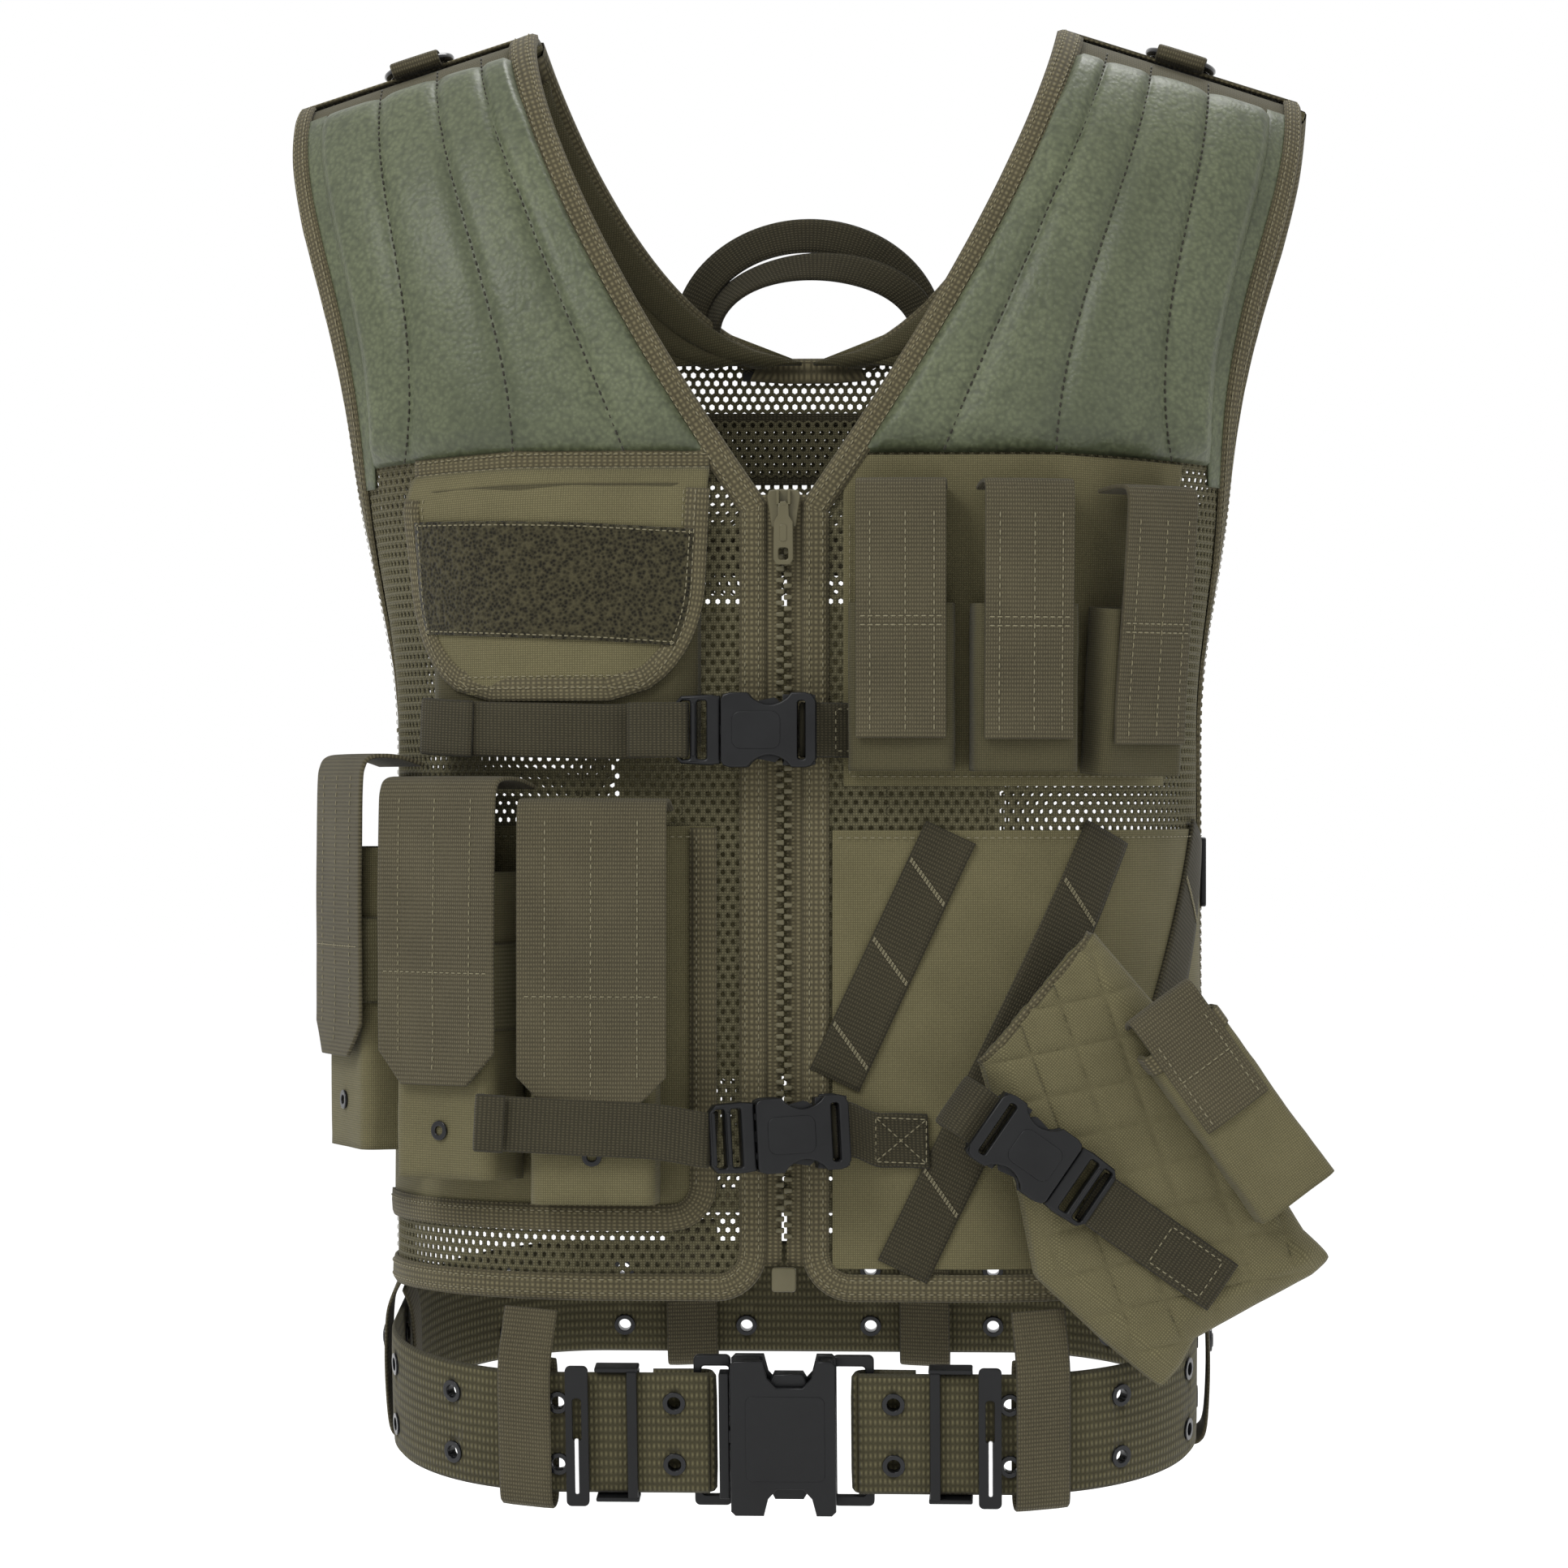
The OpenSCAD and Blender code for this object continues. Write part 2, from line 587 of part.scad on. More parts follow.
// The sewn-down top of each flap, from the panel out to the fold
module flap_root(w, out) { translate([-w / 2, clear - out, -flap_t - clear]) cube([w, out - clear - 2.8, flap_t]); }
module flap_roots() {
    across = function(u, v) [pocket_s0 - flap_over + (pocket_w + 2 * flap_over) * u, flap_top_t + 0.5 + 2 * v];
    color(webbing_olive) {
        left() patch(across, 12, 1, 2, pocket_depth + 0.5);
        for (i = [0 : 2]) on_pistol(i) flap_root(pistol_flap_w, pistol_depth + 2 + flap_gap);
        left() for (i = [0 : 2]) on_front(rifle_s[i], rifle_flap_t - rifle_up(i))
            flap_root(rifle_flap_w - 8, rifle_depth + 2 + flap_gap);
        on_mag() translate([mag_w / 2, 0, mag_flap_up]) flap_root(mag_flap_w, mag_depth + 3);
    }
}

// ---------- side-release buckles ----------
// A buckle lies along X with the mouth of its socket at x = 0 and its strap w wide in Z.

module socket_outline(l, w, rim) {
    h = w / 2 + rim;
    difference() {
        translate([l / 2, 0]) round_rect(l, 2 * h, 3.5);
        for (m = [-1, 1]) translate([l * 0.55, m * (h + 1)]) circle(l * 0.2);
        translate([l - 7.2, 0]) square([3.4, w + 1], center = true);
    }
}
module buckle_socket(l, w, rim, thick) {
    h = w / 2 + rim;
    color(black) difference() {
        plate(thick) socket_outline(l, w, rim);
        translate([-1, -thick / 2 + 2.6, -h + 3]) cube([l - 11, thick - 5.2, 2 * h - 6]);
        for (m = [-1, 1]) translate([l * 0.36, -thick / 2 + 2.6, m > 0 ? h - 4 : -h - 1])
            cube([l * 0.36, thick - 5.2, 5]);
    }
}
plug_l = 21;
module buckle_plug(l, w, rim, thick) {
    h = w / 2 + rim - 1.5;
    inside = thick - 5.2 - 0.8;
    color(black) {
        difference() {
            translate([-plug_l / 2 - clear, 0, 0]) plate(thick - 4) round_rect(plug_l, 2 * h, 2.5);
            for (x = [-16.4, -8.6]) translate([x, 0, 0]) plate(thick) square([4.6, w + 1], center = true);
        }
        translate([-clear - 1, -inside / 2, -2.4]) cube([l * 0.5, inside, 4.8]);
    }
}
// The two spring arms whose pads show in the sides of the socket
module buckle_prongs(l, w, rim, thick) {
    h = w / 2 + rim;
    inside = thick - 5.2 - 0.8;
    color(black) for (m = [0, 1]) mirror([0, 0, m]) translate([0, -inside / 2, 0]) {
        translate([clear / 3, 0, h - 10]) cube([l * 0.6, inside, 3]);
        translate([l * 0.38, 0, h - 7]) cube([l * 0.6 - l * 0.38 + 1, inside, l * 0.02 + 3.2]);
    }
}

buckle_lift = 12.5;
chest_t = upper_t + 121.5;
chest_x = -27.5;
waist_t = hem_t - 76;
waist_x = -12;
waist_tilt = -3;
waist_yaw = 15;                     // the strap comes down to the zip from the fronts of the rifle pouches
waist_y = -front_d - 27;
module on_chest() { translate([chest_x, -front_d - buckle_lift - buckle_t / 2, -chest_t]) children(); }
module on_waist() {
    translate([waist_x, waist_y, -waist_t]) rotate([0, waist_tilt, 0]) rotate([0, 0, waist_yaw]) children();
}
module chest_plug() { on_chest() buckle_plug(socket_l, strap_w, socket_rim, buckle_t); }
module chest_prongs() { on_chest() buckle_prongs(socket_l, strap_w, socket_rim, buckle_t); }
module waist_plug() { on_waist() buckle_plug(socket_l, strap_w, socket_rim, buckle_t); }
module waist_prongs() { on_waist() buckle_prongs(socket_l, strap_w, socket_rim, buckle_t); }

// A strap seen from above as a thick line through a few points, h high in Z
module thick_line(path, thick) {
    n = len(path) - 1;
    function ahead(i) = unit(path[min(i + 1, n)] - path[max(i - 1, 0)]);
    function off(i, k) = path[i] + k * [-ahead(i).y, ahead(i).x];
    polygon(concat([for (i = [0 : n]) off(i, thick / 2)], [for (i = [n : -1 : 0]) off(i, -thick / 2)]));
}
module ribbon(path, h, thick) { translate([0, 0, -h / 2]) linear_extrude(h) thick_line(path, thick); }
module chest_straps() {
    y = -front_d - buckle_lift - buckle_t / 2;
    behind = y + (buckle_t - 4) / 2 + clear;
    tail = pocket_depth + 1.2;
    edge = chest_x + socket_l;
    color(webbing_olive) {
        left() band(-chest_x + plug_l + 3, 158, chest_t, strap_w, tail, tail + 2 * strap_t, 12);
        translate([0, 0, -chest_t]) ribbon([[edge + 1, y], [edge + 6, y + 4], [pistol_s0 - pistol_w / 2 - 3, -front_d - 3]],
            strap_w, 2 * strap_t);
    }
}
module waist_straps() {
    out = -front_d - rifle_depth - 4.8 - strap_t - waist_y;
    wall = -front_d - 3.6 - waist_y;
    function along(k) = k * [cos(waist_yaw), sin(waist_yaw)];
    color(webbing_olive) translate([0, waist_y, -waist_t]) rotate([0, waist_tilt, 0]) {
        ribbon([[waist_x, 0] + along(-plug_l - 3), [-52, out], [-115, out], [-137, out + 3]], strap_w, 2 * strap_t);
        ribbon([[waist_x, 0] + along(socket_l + 1), [waist_x, 0] + along(socket_l + 6), [42, wall], [63, wall]],
            strap_w, 2 * strap_t);
    }
}

// The holster's retention buckle lies across the quilted shell
retention_turn = 35;
module on_retention() {
    on_holster() translate([-17, -holster_t - 3.4 - buckle_t / 2, -56])
        rotate([0, holster_turn + retention_turn, 0]) children();
}
module holster_plug() { on_retention() mirror([1, 0, 0]) buckle_plug(socket_l, strap_w, socket_rim, buckle_t); }
module holster_prongs() { on_retention() mirror([1, 0, 0]) buckle_prongs(socket_l, strap_w, socket_rim, buckle_t); }
module buckle_sockets() {
    on_chest() buckle_socket(socket_l, strap_w, socket_rim, buckle_t);
    on_waist() buckle_socket(socket_l, strap_w, socket_rim, buckle_t);
    on_retention() mirror([1, 0, 0]) buckle_socket(socket_l, strap_w, socket_rim, buckle_t);
}
module holster_straps() {
    color(webbing_olive) on_retention() {
        ribbon([[plug_l + 3, 2.2], [plug_l + 18, 5.4], [plug_l + 70, 5.4]], strap_w, 2 * strap_t);
        ribbon([[-socket_l - 1, 0], [-socket_l - 9, 3], [-socket_l - 14, 12], [-socket_l - 10, 24]], strap_w, 2 * strap_t);
    }
}

// ---------- belt ----------

belt_tilt = 10;
belt_front = front_d + 4;
belt_back = back_d;
belt_r = 88;
belt_z = -hem_t - belt_drop;
module on_belt() { translate([0, 0, belt_z]) rotate([belt_tilt, 0, 0]) children(); }

// The belt's middle line, by distance round from the front middle
belt_flat = belt_half_w - belt_r;
belt_side = belt_front + belt_back - 2 * belt_r;
belt_quarter = belt_r * PI / 2;
belt_half_l = 2 * belt_flat + 2 * belt_quarter + belt_side;
function belt_turn(s) =
    s < belt_flat ? 0
    : s < belt_flat + belt_quarter ? (s - belt_flat) / belt_r * 180 / PI
    : s < belt_flat + belt_quarter + belt_side ? 90
    : min(180, 90 + (s - belt_flat - belt_quarter - belt_side) / belt_r * 180 / PI);
function belt_at(s, out = 0) =
    let(a = belt_turn(s), q = belt_flat + belt_quarter, p = q + belt_side)
    let(c = s < q ? [belt_flat, -belt_front + belt_r] : [belt_flat, belt_back - belt_r])
    let(base = s < belt_flat ? [s, -belt_front] : s < q || s >= p ? c + belt_r * [sin(a), -cos(a)]
        : [belt_half_w, -belt_front + belt_r + s - q])
    let(end = s > p + belt_quarter ? [-(s - p - belt_quarter), 0] : [0, 0])
    base + end + out * [sin(a), -cos(a)];
module on_belt_at(s, out = 0) {
    p = belt_at(s, out);
    translate([p.x, p.y, 0]) rotate([0, 0, belt_turn(s)]) children();
}

belt_end = belt_socket_l / 2 + 8;
front_eyelets = [for (k = [0 : 4]) 50 + 53 * k];
back_eyelets = [for (k = [0 : 2]) belt_half_l - 31 - 61 * k];
eyelet_columns = concat(front_eyelets, back_eyelets);
module each_eyelet() {
    for (m = [0, 1], s = eyelet_columns, z = [-0.5, 0.5])
        mirror([m, 0, 0]) on_belt_at(s) translate([0, 0, z * row_gap]) children();
}
// The belt from one distance to another, with the eyelet holes in it
module belt_length(a, b, n) {
    line = [for (i = [0 : n]) a + (b - a) * i / n];
    outside = [for (s = line) belt_at(s, belt_t / 2)];
    inside = [for (i = [n : -1 : 0]) belt_at(line[i], -belt_t / 2)];
    linear_extrude(belt_w, center = true) polygon(concat(outside, inside));
}
module eyelet_holes() {
    each_eyelet() rotate([90, 0, 0]) cylinder(h = 3 * belt_t, r = eyelet_r + 1, center = true);
}
rail_t = 4;                        // the rails lie behind the belt, which folds back round their bar
belt_rail = 17;
bar_x = belt_socket_l / 2 + belt_rail - 2;
belt_join = bar_x + 22;            // the folded ends of the belt are sewn down as far as here
module belt_webbing() {
    color(webbing_olive) on_belt() difference() {
        for (m = [0, 1]) mirror([m, 0, 0]) belt_length(belt_join, belt_half_l, 56);
        eyelet_holes();
    }
}
// Each end goes round the bar of its half of the buckle and back along the inside
module belt_ends() {
    rail_back = -belt_front + belt_t / 2 + rail_t + 2;
    fold = [[bar_x + 20, rail_back + belt_t / 2], [bar_x - 2, rail_back + belt_t / 2],
        [bar_x - 7, (rail_back - belt_front) / 2], [belt_end + 1, -belt_front]];
    color(webbing_olive) on_belt() difference() {
        for (m = [0, 1]) mirror([m, 0, 0]) {
            belt_length(belt_end, belt_join - clear, 4);
            linear_extrude(belt_w, center = true) thick_line(fold, belt_t);
        }
        eyelet_holes();
    }
}
module eyelets() {
    color(black) {
        on_belt() each_eyelet() grommet(eyelet_r, 5.6, belt_t + 0.8);
        left() for (i = [0 : 2]) on_front(rifle_s[i], rifle_mouth_t - rifle_up(i), 2)
            translate([0, -rifle_depth + 0.8, -grommet_drop]) grommet(grommet_r - 0.95, 3.4, 1.7);
    }
}

belt_buckle_t = 15;
belt_rim = 8;
belt_buckle_y = -belt_front - 2;
rail_y = 2 + belt_t / 2 + 1.6 + rail_t / 2;
module on_belt_buckle() { on_belt() translate([-belt_socket_l / 2, belt_buckle_y, 0]) children(); }
// Rails above and below the belt end, closed by a bar that the belt folds round
module rails(l, h) {
    difference() {
        translate([l / 2, 0]) round_rect(l, 2 * h, 2.5);
        translate([(l - 4) / 2 - 1, 0]) square([l - 2, 2 * h - 9], center = true);
    }
}
module belt_socket() {
    h = belt_w / 2 + belt_rim;
    l = belt_socket_l;
    thick = belt_buckle_t;
    color(black) on_belt_buckle() {
        difference() {
            plate(thick) difference() {
                translate([l / 2, 0]) round_rect(l, 2 * h, 4);
                for (m = [-1, 1]) translate([l * 0.56, m * (h + 4)])
                    polygon([[-10, 5], [10, 5], [10, -12], [6, -16], [-6, -16], [-10, -12]] * m);
            }
            translate([-1, -thick / 2 + 3, -h + 4]) cube([l - 4, thick - 6, 2 * h - 8]);
        }
        translate([l - 2, rail_y, 0]) plate(rail_t) rails(belt_rail + 2, h - 1);
    }
}
module belt_plug() {
    h = belt_w / 2 + belt_rim;
    inside = belt_buckle_t - 6 - 0.8;
    color(black) on_belt_buckle() {
        translate([-clear, rail_y, 0]) mirror([1, 0, 0]) plate(rail_t) rails(belt_rail, h - 1);
        translate([-clear - 5, -inside / 2, -h + 7]) cube([5, inside + 1, 2 * h - 14]);
        translate([-clear - 1, -inside / 2, -3]) cube([belt_socket_l * 0.6, inside, 6]);
    }
}
module belt_prongs() {
    h = belt_w / 2 + belt_rim;
    inside = belt_buckle_t - 6 - 0.8;
    color(black) on_belt_buckle() for (m = [0, 1]) mirror([0, 0, m]) translate([0, -inside / 2, 0]) {
        translate([1, 0, h - 21]) cube([belt_socket_l * 0.7, inside, 5]);
        translate([belt_socket_l * 0.42, 0, h - 16]) cube([belt_socket_l * 0.28 + 1, inside, 9]);
    }
}

// A black keeper on each side of the buckle: wide above and below the belt, a thin bar in front
module belt_keepers() {
    front_y = -belt_t / 2 - 1.2;
    back_y = belt_t / 2 + 1.2;
    in_z = belt_w / 2 + 1;
    wall = 2;
    color(black) on_belt() for (m = [0, 1]) mirror([m, 0, 0]) on_belt_at(76) {
        for (z = [-1, 1]) translate([0, (front_y + back_y) / 2, z * (in_z + wall / 2)])
            cube([20, back_y - front_y + 2 * wall, wall], center = true);
        translate([0, back_y + wall / 2, 0]) cube([20, wall, 2 * in_z], center = true);
        translate([-7, front_y - wall / 2, 0]) cube([4.5, wall, 2 * in_z], center = true);
    }
}
module belt_hook_plates() {
    color(black) on_belt() for (m = [0, 1]) mirror([m, 0, 0]) on_belt_at(94)
        translate([0, -belt_t / 2 - 4.6, 0]) plate(2.5) difference() {
            round_rect(10.5, 66, 2);
            translate([0, 8]) round_rect(4, 20, 1.5);
        }
}

// Webbing hangers: a loop round the belt and a tab up to the hem
hanger_w = 25;
front_hanger_s = 117;
module hanger(rise, lean) {
    in_y = belt_t / 2 + 2.6;
    in_z = belt_w / 2 + 4;
    wall = 2;
    rotate([0, 90, 0]) linear_extrude(hanger_w, center = true) {
        difference() {
            square([2 * in_z + 2 * wall, 2 * in_y + 2 * wall], center = true);
            square([2 * in_z, 2 * in_y], center = true);
        }
        translate([-in_z - wall, 0]) polygon([[0.5, -in_y - wall], [0.5, -in_y], [-rise, lean], [-rise, lean - wall]]);
    }
}
module belt_hangers() {
    color(webbing_olive) on_belt() for (m = [0, 1]) mirror([m, 0, 0]) {
        on_belt_at(front_hanger_s) hanger(22, 8);
        on_belt_at(belt_flat + belt_quarter + belt_side / 2) hanger(4, -1);
        on_belt_at(belt_half_l - 58) hanger(3, 2);
    }
}

// A press stud through each hanger, on the outside at the sides and behind the belt elsewhere
module hanger_snaps() {
    in_y = belt_t / 2 + 2.6;
    module stud(face) {
        translate([0, face * (in_y + 2), 12]) rotate([90 * face, 0, 0]) mirror([0, 0, 1]) {
            cylinder(h = 1.2, r = 7.5);
            translate([0, 0, 1.2]) cylinder(h = 1, r = 5.5);
        }
    }
    color("silver") on_belt() for (m = [0, 1]) mirror([m, 0, 0]) {
        on_belt_at(front_hanger_s) stud(1);
        on_belt_at(belt_flat + belt_quarter + belt_side / 2) stud(-1);
        on_belt_at(belt_half_l - 58) stud(-1);
    }
}

front_panel_left();
front_panel_right();
back_panel();
back_yoke_left();
back_yoke_right();
shoulder_pad_left();
shoulder_pad_right();
binding_left();
binding_right();
back_pocket();
back_straps();
side_sliders();
carry_handle();
shoulder_keepers();
shoulder_ring_left();
shoulder_ring_right();
zip_tapes();
zip_teeth_left();
zip_teeth_right();
zip_bottom_box();
zip_slider();
zip_pull();
utility_pouch();
utility_flap();
pistol_panel();
pistol_pouches();
pistol_flap_1();
pistol_flap_2();
pistol_flap_3();
rifle_panel();
rifle_pouches();
rifle_flap_1();
rifle_flap_2();
rifle_flap_3();
flap_roots();
holster_panel();
holster_hook_pad();
holster_shell();
holster_pouch();
holster_pouch_flap();
chest_straps();
chest_plug();
chest_prongs();
waist_straps();
waist_plug();
waist_prongs();
holster_straps();
holster_plug();
holster_prongs();
buckle_sockets();
belt_webbing();
belt_ends();
eyelets();
belt_plug();
belt_prongs();
belt_socket();
belt_keepers();
belt_hook_plates();
belt_hangers();
hanger_snaps();
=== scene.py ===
import bpy
import json
import math
from mathutils import Matrix, Vector, kdtree, noise


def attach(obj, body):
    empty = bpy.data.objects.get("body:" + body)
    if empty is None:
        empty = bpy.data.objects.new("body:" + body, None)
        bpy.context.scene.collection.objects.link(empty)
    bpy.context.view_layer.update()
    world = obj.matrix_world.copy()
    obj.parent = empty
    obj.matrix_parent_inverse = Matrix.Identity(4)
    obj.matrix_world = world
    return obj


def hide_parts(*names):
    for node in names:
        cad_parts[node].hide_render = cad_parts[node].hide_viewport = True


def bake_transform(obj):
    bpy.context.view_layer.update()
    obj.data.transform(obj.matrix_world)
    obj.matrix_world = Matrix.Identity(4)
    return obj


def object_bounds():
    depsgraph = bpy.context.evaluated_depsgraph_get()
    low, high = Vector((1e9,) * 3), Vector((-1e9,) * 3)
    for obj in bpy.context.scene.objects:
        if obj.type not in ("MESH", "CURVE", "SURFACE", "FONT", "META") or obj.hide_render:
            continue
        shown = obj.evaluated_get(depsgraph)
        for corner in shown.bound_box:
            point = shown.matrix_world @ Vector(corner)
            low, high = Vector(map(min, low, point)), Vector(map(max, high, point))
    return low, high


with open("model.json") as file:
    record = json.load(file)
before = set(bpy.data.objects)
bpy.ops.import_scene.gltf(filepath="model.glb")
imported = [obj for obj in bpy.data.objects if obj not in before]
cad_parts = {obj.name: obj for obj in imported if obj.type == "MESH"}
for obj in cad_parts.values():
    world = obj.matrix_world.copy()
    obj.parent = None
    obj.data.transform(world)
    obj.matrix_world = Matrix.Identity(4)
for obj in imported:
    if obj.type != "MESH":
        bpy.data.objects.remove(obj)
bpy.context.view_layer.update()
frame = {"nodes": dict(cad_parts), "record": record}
nodes = frame["nodes"]
bpy.ops.object.select_all(action="DESELECT")

# camera straight on, a little to the right
camera = bpy.data.objects.new("camera", bpy.data.cameras.new("camera"))
bpy.context.scene.collection.objects.link(camera)
camera.location = (0.129, -2.526, -0.359)
camera.rotation_euler = (Vector((0, -0.130, -0.359)) - camera.location).to_track_quat("-Z", "Y").to_euler()
camera.data.lens = 120.9
camera.data.sensor_width = 36
camera.data.clip_end = 50
bpy.context.scene.camera = camera

# lights and floor
studio = {"world": 1.0, "key": 32, "fill": 4, "rim": 16, "front": 1}
def areaLight(name, place, aim, width, power):
    lamp = bpy.data.objects.new(name, bpy.data.lights.new(name, "AREA"))
    bpy.context.scene.collection.objects.link(lamp)
    lamp.location = place
    lamp.rotation_euler = (Vector(aim) - Vector(place)).to_track_quat("-Z", "Y").to_euler()
    lamp.data.size = width
    lamp.data.energy = power
    return lamp
areaLight("keySoftbox", (-1.1, -1.7, 1.3), (0, 0, -0.3), 0.9, studio["key"])
areaLight("fillSoftbox", (1.6, -1.5, 0.4), (0, 0, -0.35), 1.2, studio["fill"])
areaLight("topStrip", (0.3, 0.9, 1.5), (0, 0, -0.2), 0.8, studio["rim"])
areaLight("lowFront", (0.2, -2.2, -0.9), (0, 0, -0.5), 0.8, studio["front"])
world = bpy.data.worlds.new("studioWhite")
world.use_nodes = True
world.node_tree.nodes["Background"].inputs[0].default_value = (1, 1, 1, 1)
world.node_tree.nodes["Background"].inputs[1].default_value = studio["world"]
bpy.context.scene.world = world
bpy.context.scene.view_settings.view_transform = "Standard"
print("camera and lights set")

# materials
def hexColour(code):
    parts = [int(code[i:i + 2], 16) / 255 for i in (1, 3, 5)]
    return tuple(c / 12.92 if c <= 0.04045 else ((c + 0.055) / 1.055) ** 2.4 for c in parts) + (1.0,)

def addNode(tree, kind, inputs=(), **settings):
    made = tree.nodes.new(kind)
    for name, value in settings.items():
        setattr(made, name, value)
    for key, value in dict(inputs).items():
        if isinstance(value, bpy.types.NodeSocket):
            tree.links.new(value, made.inputs[key])
        else:
            made.inputs[key].default_value = value
    return made

def startMaterial(name, roughness, metallic=0.0, ior=1.5, sheen=0.0, coat=0.0):
    material = bpy.data.materials.new(name)
    material.use_nodes = True
    tree = material.node_tree
    shader = tree.nodes["Principled BSDF"]
    shader.inputs["Roughness"].default_value = roughness
    shader.inputs["Metallic"].default_value = metallic
    shader.inputs["IOR"].default_value = ior
    shader.inputs["Sheen Weight"].default_value = sheen
    shader.inputs["Sheen Roughness"].default_value = 0.5
    shader.inputs["Coat Weight"].default_value = coat
    return material, tree, shader

def mixColours(tree, shader, factor, dark, light):
    mixed = addNode(tree, "ShaderNodeMix", {0: factor, 6: hexColour(dark), 7: hexColour(light)}, data_type="RGBA")
    tree.links.new(mixed.outputs[2], shader.inputs["Base Color"])

def bumpFrom(tree, shader, height, strength, distance):
    bump = addNode(tree, "ShaderNodeBump", {"Height": height, "Strength": strength, "Distance": distance})
    tree.links.new(bump.outputs[0], shader.inputs["Normal"])

def bandScale(pitch):   # wave texture scale for a pitch in metres
    return 0.314159 / pitch

def wovenCloth(name, light, dark, pitchAlong, pitchAcross, depth, wear, roughness=0.85, fleck=0.35):
    material, tree, shader = startMaterial(name, roughness, ior=1.28, sheen=0.05)
    place = addNode(tree, "ShaderNodeUVMap", uv_map="cloth").outputs[0]
    along = addNode(tree, "ShaderNodeTexWave", {"Vector": place, "Scale": bandScale(pitchAlong), "Distortion": 0.5,
            "Detail": 1.0, "Detail Scale": 2.0}, bands_direction="X")
    across = addNode(tree, "ShaderNodeTexWave", {"Vector": place, "Scale": bandScale(pitchAcross),
            "Distortion": 0.6, "Detail": 1.0, "Detail Scale": 2.0}, bands_direction="Y")
    weave = addNode(tree, "ShaderNodeMath", {0: along.outputs[1], 1: across.outputs[1]}, operation="MULTIPLY")
    blotch = addNode(tree, "ShaderNodeTexNoise", {"Vector": place, "Scale": 22.0, "Detail": 5.0, "Roughness": 0.6})
    fine = addNode(tree, "ShaderNodeTexNoise", {"Vector": place, "Scale": 900.0, "Detail": 2.0})
    lift = addNode(tree, "ShaderNodeMath", {0: blotch.outputs[0], 1: 0.5}, operation="SUBTRACT")
    lift = addNode(tree, "ShaderNodeMath", {0: lift.outputs[0], 1: wear}, operation="MULTIPLY")
    grain = addNode(tree, "ShaderNodeMath", {0: fine.outputs[0], 1: -0.5}, operation="ADD")
    grain = addNode(tree, "ShaderNodeMath", {0: grain.outputs[0], 1: fleck, 2: lift.outputs[0]},
            operation="MULTIPLY_ADD")
    shade = addNode(tree, "ShaderNodeMath", {0: weave.outputs[0], 1: 0.75, 2: grain.outputs[0]},
            operation="MULTIPLY_ADD")
    shade = addNode(tree, "ShaderNodeMath", {0: shade.outputs[0], 1: 0.22}, operation="ADD", use_clamp=True)
    mixColours(tree, shader, shade.outputs[0], dark, light)
    bumpFrom(tree, shader, weave.outputs[0], 0.7, depth)
    return material

# 1000 denier nylon, plain weave, coated inside: even matt cloth with a fine crossed thread
nylonCloth = wovenCloth("nylonPackCloth", "#6e684b", "#403c28", 0.00105, 0.00105, 0.00025, 0.5)
# the same cloth with painted shade: a darker copy for the pouch sides and inside the shoulders
nylonShadedCopy = wovenCloth("nylonClothPaintedShade", "#524d37", "#2c2918", 0.00105, 0.00105, 0.00025, 0.4)
# nylon webbing, ribbed across its width by the weft
ribWebbing = wovenCloth("nylonRibWebbing", "#5e5843", "#29251a", 0.0019, 0.0012, 0.00045, 0.35)
darkWebbing = wovenCloth("nylonStrapWebbing", "#464130", "#19170d", 0.0019, 0.0012, 0.00045, 0.35)
# pistol belt webbing, thick and coarse
beltWebbing = wovenCloth("heavyBeltWebbing", "#5e5940", "#201d10", 0.0022, 0.0040, 0.0009, 0.3, fleck=0.25)
# folded edge tape, ribbed across
edgeTape = wovenCloth("ribbedEdgeTape", "#6a634a", "#2c281c", 0.0026, 0.0018, 0.0004, 0.35)
# warp-knit mesh yarn
meshYarn = wovenCloth("knitMeshYarn", "#67624a", "#312e1d", 0.0012, 0.0012, 0.0003, 0.25)
# hook and loop: a dense fuzz
def fuzzTape(name, light, dark):
    material, tree, shader = startMaterial(name, 0.95, ior=1.25, sheen=0.1)
    place = addNode(tree, "ShaderNodeUVMap", uv_map="cloth").outputs[0]
    curls = addNode(tree, "ShaderNodeTexVoronoi", {"Vector": place, "Scale": 620.0, "Randomness": 1.0})
    tufts = addNode(tree, "ShaderNodeTexNoise", {"Vector": place, "Scale": 260.0, "Detail": 6.0, "Roughness": 0.75})
    both = addNode(tree, "ShaderNodeMath", {0: curls.outputs[0], 1: tufts.outputs[0]}, operation="MULTIPLY")
    shade = addNode(tree, "ShaderNodeMapRange", {0: both.outputs[0], 1: 0.08, 2: 0.42})
    mixColours(tree, shader, shade.outputs[0], dark, light)
    bumpFrom(tree, shader, both.outputs[0], 1.0, 0.0012)
    return material
loopTape = fuzzTape("loopTapeOlive", "#3e3a28", "#110f08")
